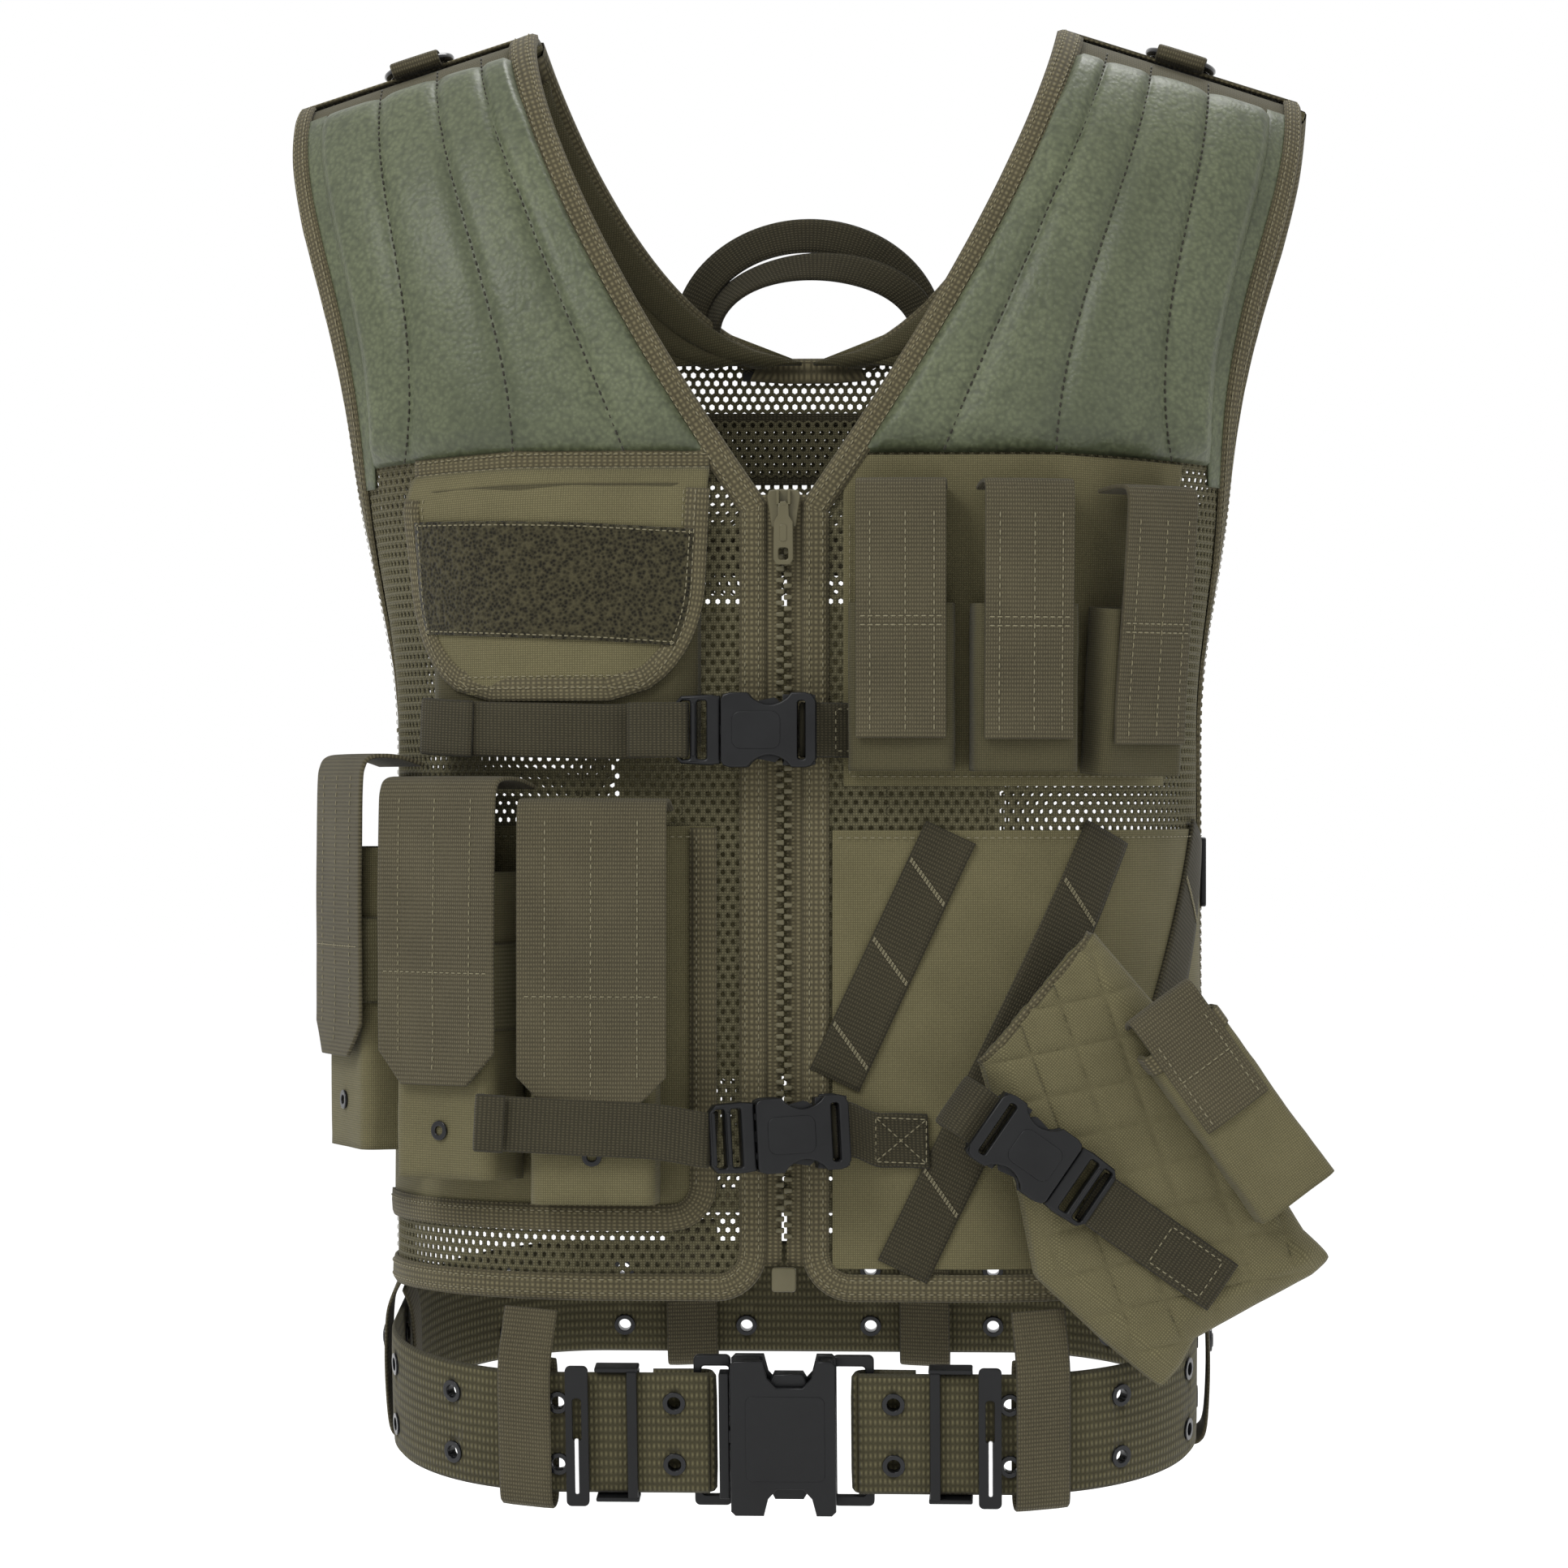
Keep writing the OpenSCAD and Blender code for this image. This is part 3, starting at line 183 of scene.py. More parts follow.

# polyurethane-coated cloth with a pebble grain: satin, with a small soft highlight painted into the colour on each
# pebble and painted shade between the pebbles
def pebbleLeather():
    material, tree, shader = startMaterial("pebbledPolyurethane", 0.5, ior=1.38)
    place = addNode(tree, "ShaderNodeUVMap", uv_map="cloth").outputs[0]
    warp = addNode(tree, "ShaderNodeTexNoise", {"Vector": place, "Scale": 500.0, "Detail": 2.0})
    shift = addNode(tree, "ShaderNodeVectorMath", {0: warp.outputs[1], 1: (0.0012, 0.0012, 0.0)},
            operation="MULTIPLY")
    moved = addNode(tree, "ShaderNodeVectorMath", {0: place, 1: shift.outputs[0]}, operation="ADD")
    pebbles = addNode(tree, "ShaderNodeTexVoronoi", {"Vector": moved.outputs[0], "Scale": 560.0},
            feature="SMOOTH_F1")
    blotch = addNode(tree, "ShaderNodeTexNoise", {"Vector": place, "Scale": 18.0, "Detail": 4.0})
    # painted highlight and shade: each pebble is paler in its middle and darker at its rim
    shade = addNode(tree, "ShaderNodeMapRange", {0: pebbles.outputs[0], 1: 0.15, 2: 0.75, 3: 1.0, 4: 0.25})
    mixed = addNode(tree, "ShaderNodeMath", {0: shade.outputs[0], 1: blotch.outputs[0]}, operation="MULTIPLY")
    mixed = addNode(tree, "ShaderNodeMath", {0: mixed.outputs[0], 1: 1.35}, operation="MULTIPLY", use_clamp=True)
    mixColours(tree, shader, mixed.outputs[0], "#343929", "#5b6148")
    rough = addNode(tree, "ShaderNodeMapRange", {0: blotch.outputs[0], 1: 0.3, 2: 0.7, 3: 0.4, 4: 0.56})
    tree.links.new(rough.outputs[0], shader.inputs["Roughness"])
    bumpFrom(tree, shader, shade.outputs[0], 0.55, 0.0004)
    return material
padSkin = pebbleLeather()

def mouldedPlastic(name, colour, edge, roughness, grain, coat=0.0, ior=1.3):
    material, tree, shader = startMaterial(name, roughness, ior=ior, coat=coat)
    place = addNode(tree, "ShaderNodeTexCoord").outputs["Object"]
    spark = addNode(tree, "ShaderNodeTexNoise", {"Vector": place, "Scale": 1600.0, "Detail": 3.0})
    cloud = addNode(tree, "ShaderNodeTexNoise", {"Vector": place, "Scale": 60.0, "Detail": 4.0})
    mixColours(tree, shader, cloud.outputs[0], colour, edge)
    rough = addNode(tree, "ShaderNodeMapRange", {0: cloud.outputs[0], 1: 0.3, 2: 0.7, 3: roughness - 0.06,
            4: roughness + 0.08})
    tree.links.new(rough.outputs[0], shader.inputs["Roughness"])
    bumpFrom(tree, shader, spark.outputs[0], grain, 0.0001)
    return material
# acetal buckles, spark-eroded mould: black satin with a fine tooth
blackAcetal = mouldedPlastic("mouldedBlackAcetal", "#0e0e0f", "#171819", 0.36, 0.4)
# polished ring moulding: deep black, sharp lights
glossRing = mouldedPlastic("polishedBlackNylon", "#0b0b0c", "#141416", 0.16, 0.05, coat=0.4)
# zip teeth and slider in dyed acetal: olive, a little waxy
zipAcetal = mouldedPlastic("dyedOliveAcetal", "#4a4632", "#5d5844", 0.34, 0.2)
# enamelled brass eyelets: thin black paint, worn to a soft light on the rolled edge
eyeletEnamel = mouldedPlastic("blackEnamelBrass", "#0b0b0c", "#16171a", 0.24, 0.1, coat=0.2)
snapEnamel = mouldedPlastic("blackEnamelSnap", "#131416", "#222428", 0.2, 0.05, coat=0.3)
# sewing thread, bonded nylon
def sewingThread(name, colour, light):
    material, tree, shader = startMaterial(name, 0.6, ior=1.3, sheen=0.1)
    place = addNode(tree, "ShaderNodeTexCoord").outputs["Object"]
    twist = addNode(tree, "ShaderNodeTexNoise", {"Vector": place, "Scale": 700.0, "Detail": 2.0})
    mixColours(tree, shader, twist.outputs[0], colour, light)
    return material
lightThread = sewingThread("bondedThreadLight", "#686249", "#7a745c")
darkThread = sewingThread("bondedThreadDark", "#1d1b12", "#2c2a1e")
blackLabel = wovenCloth("satinWovenLabel", "#222220", "#101010", 0.0006, 0.0006, 0.0001, 0.1, roughness=0.5,
        fleck=0.1)
print("materials made")

# the body that the cloth lies on, in millimetres
body = {"shoulder": 262, "waist": 190, "armEnd": 335, "frontDeep": 128, "backDeep": 100, "frontRound": 110,
        "backRound": 85, "fallEnd": 215, "slope": 0.32, "fade": 250, "neck": 125, "backNeck": 148, "neckEnd": 231,
        "zipGap": 18, "tape": 11.5, "shoulderOut": 252, "chestOut": 226}
level = {"hem": 594, "backHem": 572, "padEnd": 208, "zipTop": 225, "zipEnd": 579}

def easeBetween(a, b, u):
    return a + (b - a) * (1 - math.cos(math.pi * max(0, min(1, u)))) / 2

def halfWidth(t):
    return easeBetween(body["shoulder"], body["waist"], t / body["armEnd"])

def fallAt(t):
    return 1 if t >= body["fallEnd"] else math.sqrt(max(0, 1 - (1 - max(t, 0) / body["fallEnd"]) ** 2))

def deepRound(back):
    return (body["backDeep"], body["backRound"]) if back else (body["frontDeep"], body["frontRound"])

def turnAt(s, t, back=False):   # degrees that the cloth has turned from facing front
    deep, round_ = deepRound(back)
    return max(0, min(90, (abs(s) - (halfWidth(t) - round_)) / round_ * 180 / math.pi))

def skinPoint(s, t, back=False):
    deep, round_ = deepRound(back)
    a = math.radians(turnAt(s, t, back))
    flat = halfWidth(t) - round_
    past = max(0, abs(s) - flat - round_ * math.pi / 2)
    x = abs(s) if abs(s) < flat else flat + round_ * math.sin(a)
    y = (deep - round_ * (1 - math.cos(a)) - past) * fallAt(t) + 0.15
    z = -t - body["slope"] * max(0, x - body["neck"]) * max(0, 1 - t / body["fade"])
    sign = 1 if s >= 0 else -1
    return Vector((sign * x, y if back else -y, z))

def skinNormal(s, t, back=False):
    if t < 0.02:
        sign = 1 if s >= 0 else -1
        return Vector((sign * (body["slope"] if abs(s) > body["neck"] else 0), 0, 1)).normalized()
    down = skinPoint(s, t + 1, back) - skinPoint(s, max(0, t - 1), back)
    across = skinPoint(s + 1, t, back) - skinPoint(s - 1, t, back)
    n = down.cross(across).normalized()
    return -n if back else n

def onSkin(s, t, lift, back=False):
    return skinPoint(s, t, back) + lift * skinNormal(s, t, back)

def sideS(t, back=False):
    deep, round_ = deepRound(back)
    return halfWidth(t) - round_ + round_ * math.pi / 2 + deep - round_

def neckEdge(t):
    half = body["zipGap"] / 2
    return half if t >= body["neckEnd"] else half + (body["neck"] - half) * (1 - (t / body["neckEnd"]) ** 1.4)

def backNeckEdge(t):
    return body["neck"] * math.sqrt(max(0, 1 - (t / body["backNeck"]) ** 1.2))

def armEdge(t, back=False):
    middle = body["armEnd"] / 2
    if t < middle:
        return easeBetween(body["shoulderOut"], body["chestOut"], t / middle)
    if t < body["armEnd"]:
        return easeBetween(body["chestOut"], sideS(body["armEnd"], back), t / middle - 1)
    return sideS(t, back)

hemRound = 22
def hemAt(s):
    e = abs(s) - body["zipGap"] / 2
    if e >= hemRound:
        return level["hem"]
    return level["hem"] - (hemRound - math.sqrt(max(0, hemRound ** 2 - (hemRound - max(0, e)) ** 2)))

def ripple(s, t, seed, size=40.0, height=1.0):   # slow folds in worn cloth, same each run
    return height * noise.noise(Vector((s / size, t / size, seed * 7.3)))

# mesh helpers
def finishPiece(obj, material, ridesOn="vest", replaced=()):
    if material and not obj.data.materials:
        obj.data.materials.append(material)
    if ridesOn:
        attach(obj, ridesOn)
    if replaced:
        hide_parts(*replaced)
    return obj

def meshPiece(name, points, faces, uvs=None, smooth=True):   # points in millimetres
    data = bpy.data.meshes.new(name)
    data.from_pydata([Vector(p) * 0.001 for p in points], [], faces)
    data.update()
    if uvs is not None:
        layer = data.uv_layers.new(name="cloth")
        flat = []
        for loop in data.loops:
            flat.extend((uvs[loop.vertex_index][0] * 0.001, uvs[loop.vertex_index][1] * 0.001))
        layer.data.foreach_set("uv", flat)
    if smooth:
        data.polygons.foreach_set("use_smooth", [True] * len(data.polygons))
    obj = bpy.data.objects.new(name, data)
    bpy.context.scene.collection.objects.link(obj)
    return obj

def selectOnly(obj):
    bpy.ops.object.select_all(action="DESELECT")
    bpy.context.view_layer.objects.active = obj
    obj.select_set(True)

def useModifiers(obj, *modifiers):   # each is (kind, settings); they are applied in turn
    selectOnly(obj)
    for kind, settings in modifiers:
        made = obj.modifiers.new(kind.lower(), kind)
        for name, value in settings.items():
            setattr(made, name, value)
        bpy.ops.object.modifier_apply(modifier=made.name)
    obj.select_set(False)

def gridFaces(nu, nv, across=False):   # quads of a grid of points, nu + 1 in each row
    corners = [j * (nu + 1) + i for j in range(nv) for i in range(nu)]
    return [(a, a + 1, a + nu + 2, a + nu + 1) if across else (a, a + nu + 1, a + nu + 2, a + 1) for a in corners]

def tubeFaces(n, rows):   # quads round a closed section of n points, with both ends shut
    sides = [(k * n + i, k * n + (i + 1) % n, (k + 1) * n + (i + 1) % n,
            (k + 1) * n + i) for k in range(rows) for i in range(n)]
    return sides + [tuple(range(n))[::-1], tuple(range(rows * n, rows * n + n))]

def clothSheet(name, cell, nu, nv, lift, thick, material, back=False, left=False, bulge=None, ridesOn="vest",
        replaced=(), flipUv=False, rounded=0.0):
    points, uvs = [], []
    for j in range(nv + 1):
        for i in range(nu + 1):
            u, v = i / nu, j / nv
            s, t = cell(u, v)
            out = lift + (bulge(u, v, s, t) if bulge else 0)
            p = onSkin(s, t, out, back)
            points.append((-p.x if left else p.x, p.y, p.z))
            uvs.append((t, s) if flipUv else (s, t))
    faces = gridFaces(nu, nv)
    if left != back:
        faces = [quad[::-1] for quad in faces]
    obj = meshPiece(name, points, faces, uvs)
    steps = [("SOLIDIFY", {"thickness": thick * 0.001, "offset": -1.0})]
    if rounded:
        steps.append(("BEVEL", {"width": rounded * 0.001, "segments": 2, "limit_method": "ANGLE",
                "angle_limit": 0.9}))
    useModifiers(obj, *steps)
    return finishPiece(obj, material, ridesOn, replaced)

def strapPiece(name, path, wide, thick, width, material, ridesOn="vest", replaced=(), steps=4):
    # path: points in millimetres; wide: direction of the width at each point; a soft oval section
    line, across = smoothLine(path, wide, steps)
    half = [(-1, 0), (-0.94, 0.8), (-0.6, 1), (0, 1.0), (0.6, 1), (0.94, 0.8), (1, 0), (0.94, -0.8), (0.6, -1),
            (0, -1), (-0.6, -1), (-0.94, -0.8)]
    points, uvs = [], []
    run = 0
    for k, p in enumerate(line):
        if k:
            run += (p - line[k - 1]).length
        ahead = (line[min(k + 1, len(line) - 1)] - line[max(k - 1, 0)]).normalized()
        side = across[k].normalized()
        out = side.cross(ahead).normalized()
        for a, b in half:
            points.append(p + side * (a * width / 2) + out * (b * thick / 2))
            uvs.append((run, a * width / 2 + (0 if b >= 0 else 60)))
    obj = meshPiece(name, points, tubeFaces(len(half), len(line) - 1), uvs)
    fixNormals(obj)
    return finishPiece(obj, material, ridesOn, replaced)

def smoothLine(path, wide, steps):   # Catmull-Rom through the points
    path = [Vector(p) for p in path]
    wide = [Vector(w) for w in wide] if hasattr(wide[0], "__len__") else [Vector(wide)] * len(path)
    line, across = [], []
    for k in range(len(path) - 1):
        a, b, c, d = path[max(k - 1, 0)], path[k], path[k + 1], path[min(k + 2, len(path) - 1)]
        for i in range(steps):
            u = i / steps
            line.append(0.5 * ((2 * b) + (c - a) * u + (2 * a - 5 * b + 4 * c - d) * u * u
                    + (3 * b - a - 3 * c + d) * u ** 3))
            across.append(wide[k].lerp(wide[k + 1], u))
    return line + [path[-1]], across + [wide[-1]]

def fixNormals(obj):
    selectOnly(obj)
    bpy.ops.object.mode_set(mode="EDIT")
    bpy.ops.mesh.select_all(action="SELECT")
    bpy.ops.mesh.normals_make_consistent(inside=False)
    bpy.ops.object.mode_set(mode="OBJECT")
    obj.select_set(False)

# a row of sewn stitches: short rods lying on the cloth, in a piece of their own
class StitchSet:
    def __init__(self, name, thread=lightThread, ridesOn="vest"):
        self.name, self.thread, self.ridesOn = name, thread, ridesOn
        self.points, self.faces = [], []

    def row(self, line, normals, pitch=3.4, length=2.3, radius=0.3):
        lengths = [0]
        for a, b in zip(line, line[1:]):
            lengths.append(lengths[-1] + (Vector(b) - Vector(a)).length)
        count = max(1, int(lengths[-1] / pitch))
        def at(d):
            k = 0
            while k < len(lengths) - 2 and lengths[k + 1] < d:
                k += 1
            u = (d - lengths[k]) / max(1e-6, lengths[k + 1] - lengths[k])
            return Vector(line[k]).lerp(Vector(line[k + 1]), u), Vector(normals[k]).lerp(Vector(normals[k + 1]), u)
        for i in range(count):
            a, na = at((i + 0.5) * lengths[-1] / count - length / 2)
            b, nb = at((i + 0.5) * lengths[-1] / count + length / 2)
            self.rod(a, b, ((na + nb) / 2).normalized(), radius)
        return self

    def rod(self, a, b, up, radius):
        ahead = (b - a).normalized()
        side = ahead.cross(up).normalized()
        base = len(self.points)
        for k, (p, size) in enumerate(((a, 0.25), (a + (b - a) * 0.2, 1), (b - (b - a) * 0.2, 1), (b, 0.25))):
            drop = -0.15 if k in (0, 3) else 0.12
            for x, y in ((-1, 0), (-0.5, 0.9), (0.5, 0.9), (1, 0)):
                self.points.append(p + side * (x * radius * size) + up * (y * radius * size + drop))
        for k in range(3):
            for i in range(3):
                c = base + k * 4 + i
                self.faces.append((c, c + 1, c + 5, c + 4))
            c = base + k * 4
            self.faces.append((c, c + 4, c + 7, c + 3))
        self.faces.append((base, base + 3, base + 2, base + 1))
        self.faces.append((base + 12, base + 13, base + 14, base + 15))

    def finish(self):
        obj = meshPiece(self.name, self.points, self.faces)
        fixNormals(obj)
        return finishPiece(obj, self.thread, self.ridesOn)

def skinLine(cells, lift, back=False, left=False):
    line, normals = [], []
    for s, t in cells:
        p, n = onSkin(s, t, lift, back), skinNormal(s, t, back)
        if left:
            p.x, n.x = -p.x, -n.x
        line.append(p)
        normals.append(n)
    return line, normals

def flatShape(name, outlines, thick, bevel, placeIn, material, ridesOn="vest",
        replaced=()):
    # outlines: lists of (x, z) in millimetres, the first is the outside and the others are holes
    curve = bpy.data.curves.new(name, "CURVE")
    curve.dimensions = "2D"
    curve.fill_mode = "BOTH"
    for outline in outlines:
        spline = curve.splines.new("POLY")
        spline.points.add(len(outline) - 1)
        for point, (x, z) in zip(spline.points, outline):
            point.co = (x * 0.001, z * 0.001, 0, 1)
        spline.use_cyclic_u = True
    curve.extrude = (thick / 2 - bevel) * 0.001
    curve.bevel_depth = bevel * 0.001
    curve.bevel_resolution = 3
    curve.offset = -bevel * 0.001
    obj = bpy.data.objects.new(name, curve)
    bpy.context.scene.collection.objects.link(obj)
    selectOnly(obj)
    bpy.ops.object.convert(target="MESH")
    obj = bpy.context.view_layer.objects.active
    # curve plane XY becomes the plate's XZ, then the piece's own place
    obj.data.transform(Matrix.Rotation(math.pi / 2, 4, "X"))
    obj.data.transform(placeIn)
    obj.select_set(False)
    fixNormals(obj)
    return finishPiece(obj, material, ridesOn, replaced)

def roundRect(cx, cz, w, h, r, steps=5):
    r = min(r, w / 2 - 0.01, h / 2 - 0.01)
    out = []
    for qx, qz, start in ((1, 1, 0), (-1, 1, 90), (-1, -1, 180), (1, -1, 270)):
        for k in range(steps + 1):
            a = math.radians(start + 90 * k / steps)
            out.append((cx + qx * (w / 2 - r) + r * math.cos(a), cz + qz * (h / 2 - r) + r * math.sin(a)))
    return out

def placed(origin, *turns):   # origin in millimetres, turns as (axis, degrees) outermost first
    m = Matrix.Translation(Vector(origin) * 0.001)
    for axis, angle in turns:
        m = m @ Matrix.Rotation(math.radians(angle), 4, axis)
    return m

def mirrored(m):
    return Matrix.Scale(-1, 4, (1, 0, 0)) @ m

def joinPieces(name, pieces):
    bpy.ops.object.select_all(action="DESELECT")
    for p in pieces:
        p.select_set(True)
    bpy.context.view_layer.objects.active = pieces[0]
    bpy.ops.object.join()
    joined = bpy.context.view_layer.objects.active
    joined.name = name
    joined.select_set(False)
    return joined

# knitted mesh: a hexagon net with a hole in each cell
knit = {"pitch": 4.6, "hole": 0.31, "thick": 0.8}
def knitMesh(name, inside, sRange, tRange, lift, back=False, left=False, replaced=()):
    pitch, rowStep = knit["pitch"], knit["pitch"] * 0.866
    corner = pitch / math.sqrt(3)
    points, uvs, faces, known = [], [], [], {}
    def spot(s, t, out):
        p = onSkin(s, t, lift + out, back)
        points.append((-p.x if left else p.x, p.y, p.z))
        uvs.append((s, t))
        return len(points) - 1
    turned = left != back
    for j in range(int((tRange[1] - tRange[0]) / rowStep) + 1):
        for i in range(int((sRange[1] - sRange[0]) / pitch) + 1):
            s = sRange[0] + i * pitch + (pitch / 2 if j % 2 else 0)
            t = tRange[0] + j * rowStep
            if not inside(s, t):
                continue
            outer, inner = [], []
            for k in range(6):
                a = math.radians(30 + 60 * k)
                cs, ct = s + corner * math.cos(a), t + corner * math.sin(a)
                key = (round(cs * 3), round(ct * 3))
                if key not in known:
                    known[key] = spot(cs, ct, 0.3)
                outer.append(known[key])
                inner.append(spot(s + pitch * knit["hole"] * math.cos(a),
                        t + pitch * knit["hole"] * 1.08 * math.sin(a), -0.1))
            for k in range(6):
                quad = (outer[k], inner[k], inner[(k + 1) % 6], outer[(k + 1) % 6])
                faces.append(quad if turned else quad[::-1])
    obj = meshPiece(name, points, faces, uvs)
    fixNormals(obj)
    useModifiers(obj, ("SOLIDIFY", {"thickness": knit["thick"] * 0.001, "offset": -1.0}))
    return finishPiece(obj, meshYarn, "vest", replaced)

def frontOpen(left):
    def inside(s, t):
        if s < neckEdge(t) + 7 or s > armEdge(t) - 5 or t > hemAt(s) - 6:
            return False
        if left:
            return not ((48 < s < 164 and 228 < t < 338) or (42 < s < 226 and 391 < t < 548))
        return not ((42 < s < 178 and 222 < t < 348) or (30 < s < 240 and 391 < t < 585))
    return inside

knitMesh("frontMeshLeft", frontOpen(True), (12, 276), (204, 592), -1.2, left=True, replaced=("front_panel_left",))
knitMesh("frontMeshRight", frontOpen(False), (12, 276), (204, 592), -1.2, replaced=("front_panel_right",))
def backOpen(s, t):
    pocket = abs(s) < 98 and 266 < t < 508
    strap = 237 < t < 248 and abs(s) < 180
    return abs(s) < armEdge(t, True) - 4 and abs(s) > backNeckEdge(t) and t < 566 and not pocket and not strap
knitMesh("backMeshUpper", backOpen, (-262, 262), (151, 352), -2.2, back=True, replaced=("back_panel",))
knitMesh("backMeshLower", backOpen, (-272, 272), (352.9, 566), -2.2, back=True)
print("mesh panels knitted")

# solid cloth on the shoulders, front and back
def shoulderCell(back, last):
    rows = (0, 0.004, 0.012, 0.03, 0.06, 0.1, 0.16, 0.24, 0.33, 0.43, 0.54, 0.66, 0.78, 0.89, 1)
    def cell(u, v):
        t = last * rows[round(v * 14)]
        inner = backNeckEdge(t) if back else neckEdge(t)
        return inner + (armEdge(t, back) - inner) * u, t
    return cell
for left in (True, False):
    side = "Left" if left else "Right"
    # painted shade: the front yoke uses the darker copy of the cloth
    clothSheet("frontYoke" + side, shoulderCell(False, 212), 20, 14, -0.6, 2.6, nylonShadedCopy, left=left)
    clothSheet("backYoke" + side, shoulderCell(True, 150), 20, 14, -0.6, 2.0, nylonCloth, back=True, left=left,
            replaced=("back_yoke_" + side.lower(),))
    # ribbed padding seen inside the back of the shoulder
    def ribCell(u, v):
        t = 10 + 140 * v
        inner = backNeckEdge(t) + 3
        return inner + (armEdge(t, True) - 6 - inner) * u, t
    # painted shade: the ribs use the darker copy of the cloth
    clothSheet("shoulderRibs" + side, ribCell, 72, 24, -7.5, 2.4, nylonShadedCopy, back=True, left=left,
            bulge=lambda u, v, s, t: -2.2 * abs(math.sin(u * math.pi * 9)))

# shoulder pads: four stuffed channels under one pebbled skin
padShape = {"top": 14, "rim": 4.6, "crown": 3.4, "welt": 9.5}
def padLines(v):
    return (0.14 + 0.075 * v, 0.35 + 0.15 * v, 0.63 + 0.19 * v)
def padCell(u, v):
    t = padShape["top"] + (level["padEnd"] - padShape["top"]) * v
    s0 = neckEdge(t) + body["tape"] - 1.5
    s1 = armEdge(t) - body["tape"] - padShape["welt"]
    return s0 + (s1 - s0) * u, t
def padBulge(u, v, s, t):
    edges = (0,) + padLines(v) + (1,)
    k = max(i for i in range(4) if u >= edges[i] or i == 0)
    c = (u - edges[k]) / (edges[k + 1] - edges[k])
    crown = 1 - abs(2 * c - 1) ** 4
    rim = min(1, (1 - u) * 14) ** 0.5 * min(1, u * 30) ** 0.5 * min(1, (1 - v) * 16) ** 0.5 * min(1, v * 18) ** 0.5
    return rim * padShape["rim"] + crown * padShape["crown"] * rim + ripple(s, t, 3, 26, 0.45) + ripple(s, t, 9, 9,
            0.12)
for left in (True, False):
    side = "Left" if left else "Right"
    pad = clothSheet("shoulderPad" + side, padCell, 88, 60, 0.6, 1.2, padSkin, left=left, bulge=padBulge,
            replaced=("shoulder_pad_" + side.lower(),))
    stitches = StitchSet("padStitches" + side, darkThread)
    for n in range(3):
        cells = [padCell(padLines(j / 60)[n], j / 60) for j in range(61)]
        line, normals = skinLine(cells, 0.9 + padShape["rim"], left=left)
        stitches.row(line, normals, pitch=3.9, length=2.6, radius=0.5)
    stitches.finish()
    # flat strip of the same skin outside the pad
    def stripCell(u, v):
        t = 12 + (218 - 12) * v
        s1 = armEdge(t) - body["tape"] + 2
        return s1 - (padShape["welt"] + 4) * (1 - u), t
    clothSheet("padSelvedge" + side, stripCell, 4, 40, 1.2, 0.9, padSkin, left=left)
print("shoulder pads stuffed")

# folded edge tape
tapeFold = [(11.5, 0.4), (11.3, 1.7), (8.5, 2.3), (4.5, 2.4), (1.2, 2.2), (-0.7, 1.0), (-1.1, -1.2), (-0.7, -3.4),
        (1.2, -4.8), (11.0, -5.0)]
def foldedTape(name, edge, turn, back=False, left=False, stitched=True, wide=1.0, replaced=()):
    # edge: (s, t) along the cut edge; turn: +1 or -1, the side that the cloth lies on
    points, uvs = [], []
    run, rows = 0, []
    for k, (s, t) in enumerate(edge):
        a, b = edge[max(k - 1, 0)], edge[min(k + 1, len(edge) - 1)]
        ds, dt = b[0] - a[0], b[1] - a[1]
        size = math.hypot(ds, dt)
        inS, inT = -dt / size * turn, ds / size * turn
        if k:
            run += math.hypot(s - edge[k - 1][0], t - edge[k - 1][1])
        rows.append((inS, inT))
        for n, (offset, lift) in enumerate(tapeFold):
            offset = offset * wide
            wave = ripple(run, offset, 5, 14, 0.25)
            p = onSkin(s + inS * offset, max(0, t + inT * offset), lift + (wave if lift > 0 else 0), back)
            points.append((-p.x if left else p.x, p.y, p.z))
            uvs.append((run, n * 3.0))
    obj = meshPiece(name, points, gridFaces(len(tapeFold) - 1, len(edge) - 1, True), uvs)
    fixNormals(obj)
    finishPiece(obj, edgeTape, "vest", replaced)
    if stitched:
        seams = StitchSet(name + "Stitches", lightThread)
        for offset in (2.6, 8.8):
            cells = [(s + r[0] * offset * wide, max(0, t + r[1] * offset * wide)) for (s, t), r in zip(edge, rows)]
            line, normals = skinLine(cells, 2.45, back, left)
            seams.row(line, normals, pitch=4.0, length=2.6, radius=0.32)
        seams.finish()
    return obj

def spread(a, b, n, power=1.0):
    return [a + (b - a) * (k / n) ** power for k in range(n + 1)]

half = body["zipGap"] / 2
for left in (True, False):
    side = "Left" if left else "Right"
    low = side.lower()
    neck = [(neckEdge(t), t) for t in spread(1.5, body["neckEnd"], 60, 1.7)]
    down = [(half, t) for t in spread(body["neckEnd"] + 4, level["hem"] - hemRound, 50)]
    corner = [(half + hemRound * (1 - math.cos(math.radians(a))),
            level["hem"] - hemRound * (1 - math.sin(math.radians(a)))) for a in range(10, 91, 10)]
    hem = [(s, level["hem"]) for s in spread(half + hemRound + 4, sideS(level["hem"]) - 1, 44)]
    foldedTape("frontEdge" + side, neck + down + corner + hem, -1, left=left, replaced=("binding_" + low,))
    arm = [(armEdge(t), t) for t in spread(1.5, body["armEnd"], 60, 1.6)]
    foldedTape("armEdgeFront" + side, arm, 1, left=left)
    armBack = [(armEdge(t, True), t) for t in spread(1.5, body["armEnd"], 60, 1.6)]
    foldedTape("armEdgeBack" + side, armBack, 1, back=True, left=left)
    hemBack = [(s, level["backHem"]) for s in spread(0, sideS(level["backHem"], True) - 1, 44)]
    foldedTape("backHem" + side, hemBack, -1, back=True, left=left)
    nape = [(backNeckEdge(t), t) for t in spread(1.5, body["backNeck"] - 2, 50, 1.3)] + [(s,
            body["backNeck"]) for s in (24, 12, 0)]
    foldedTape("backNeck" + side, nape, -1, back=True, left=left)
print("edges bound")

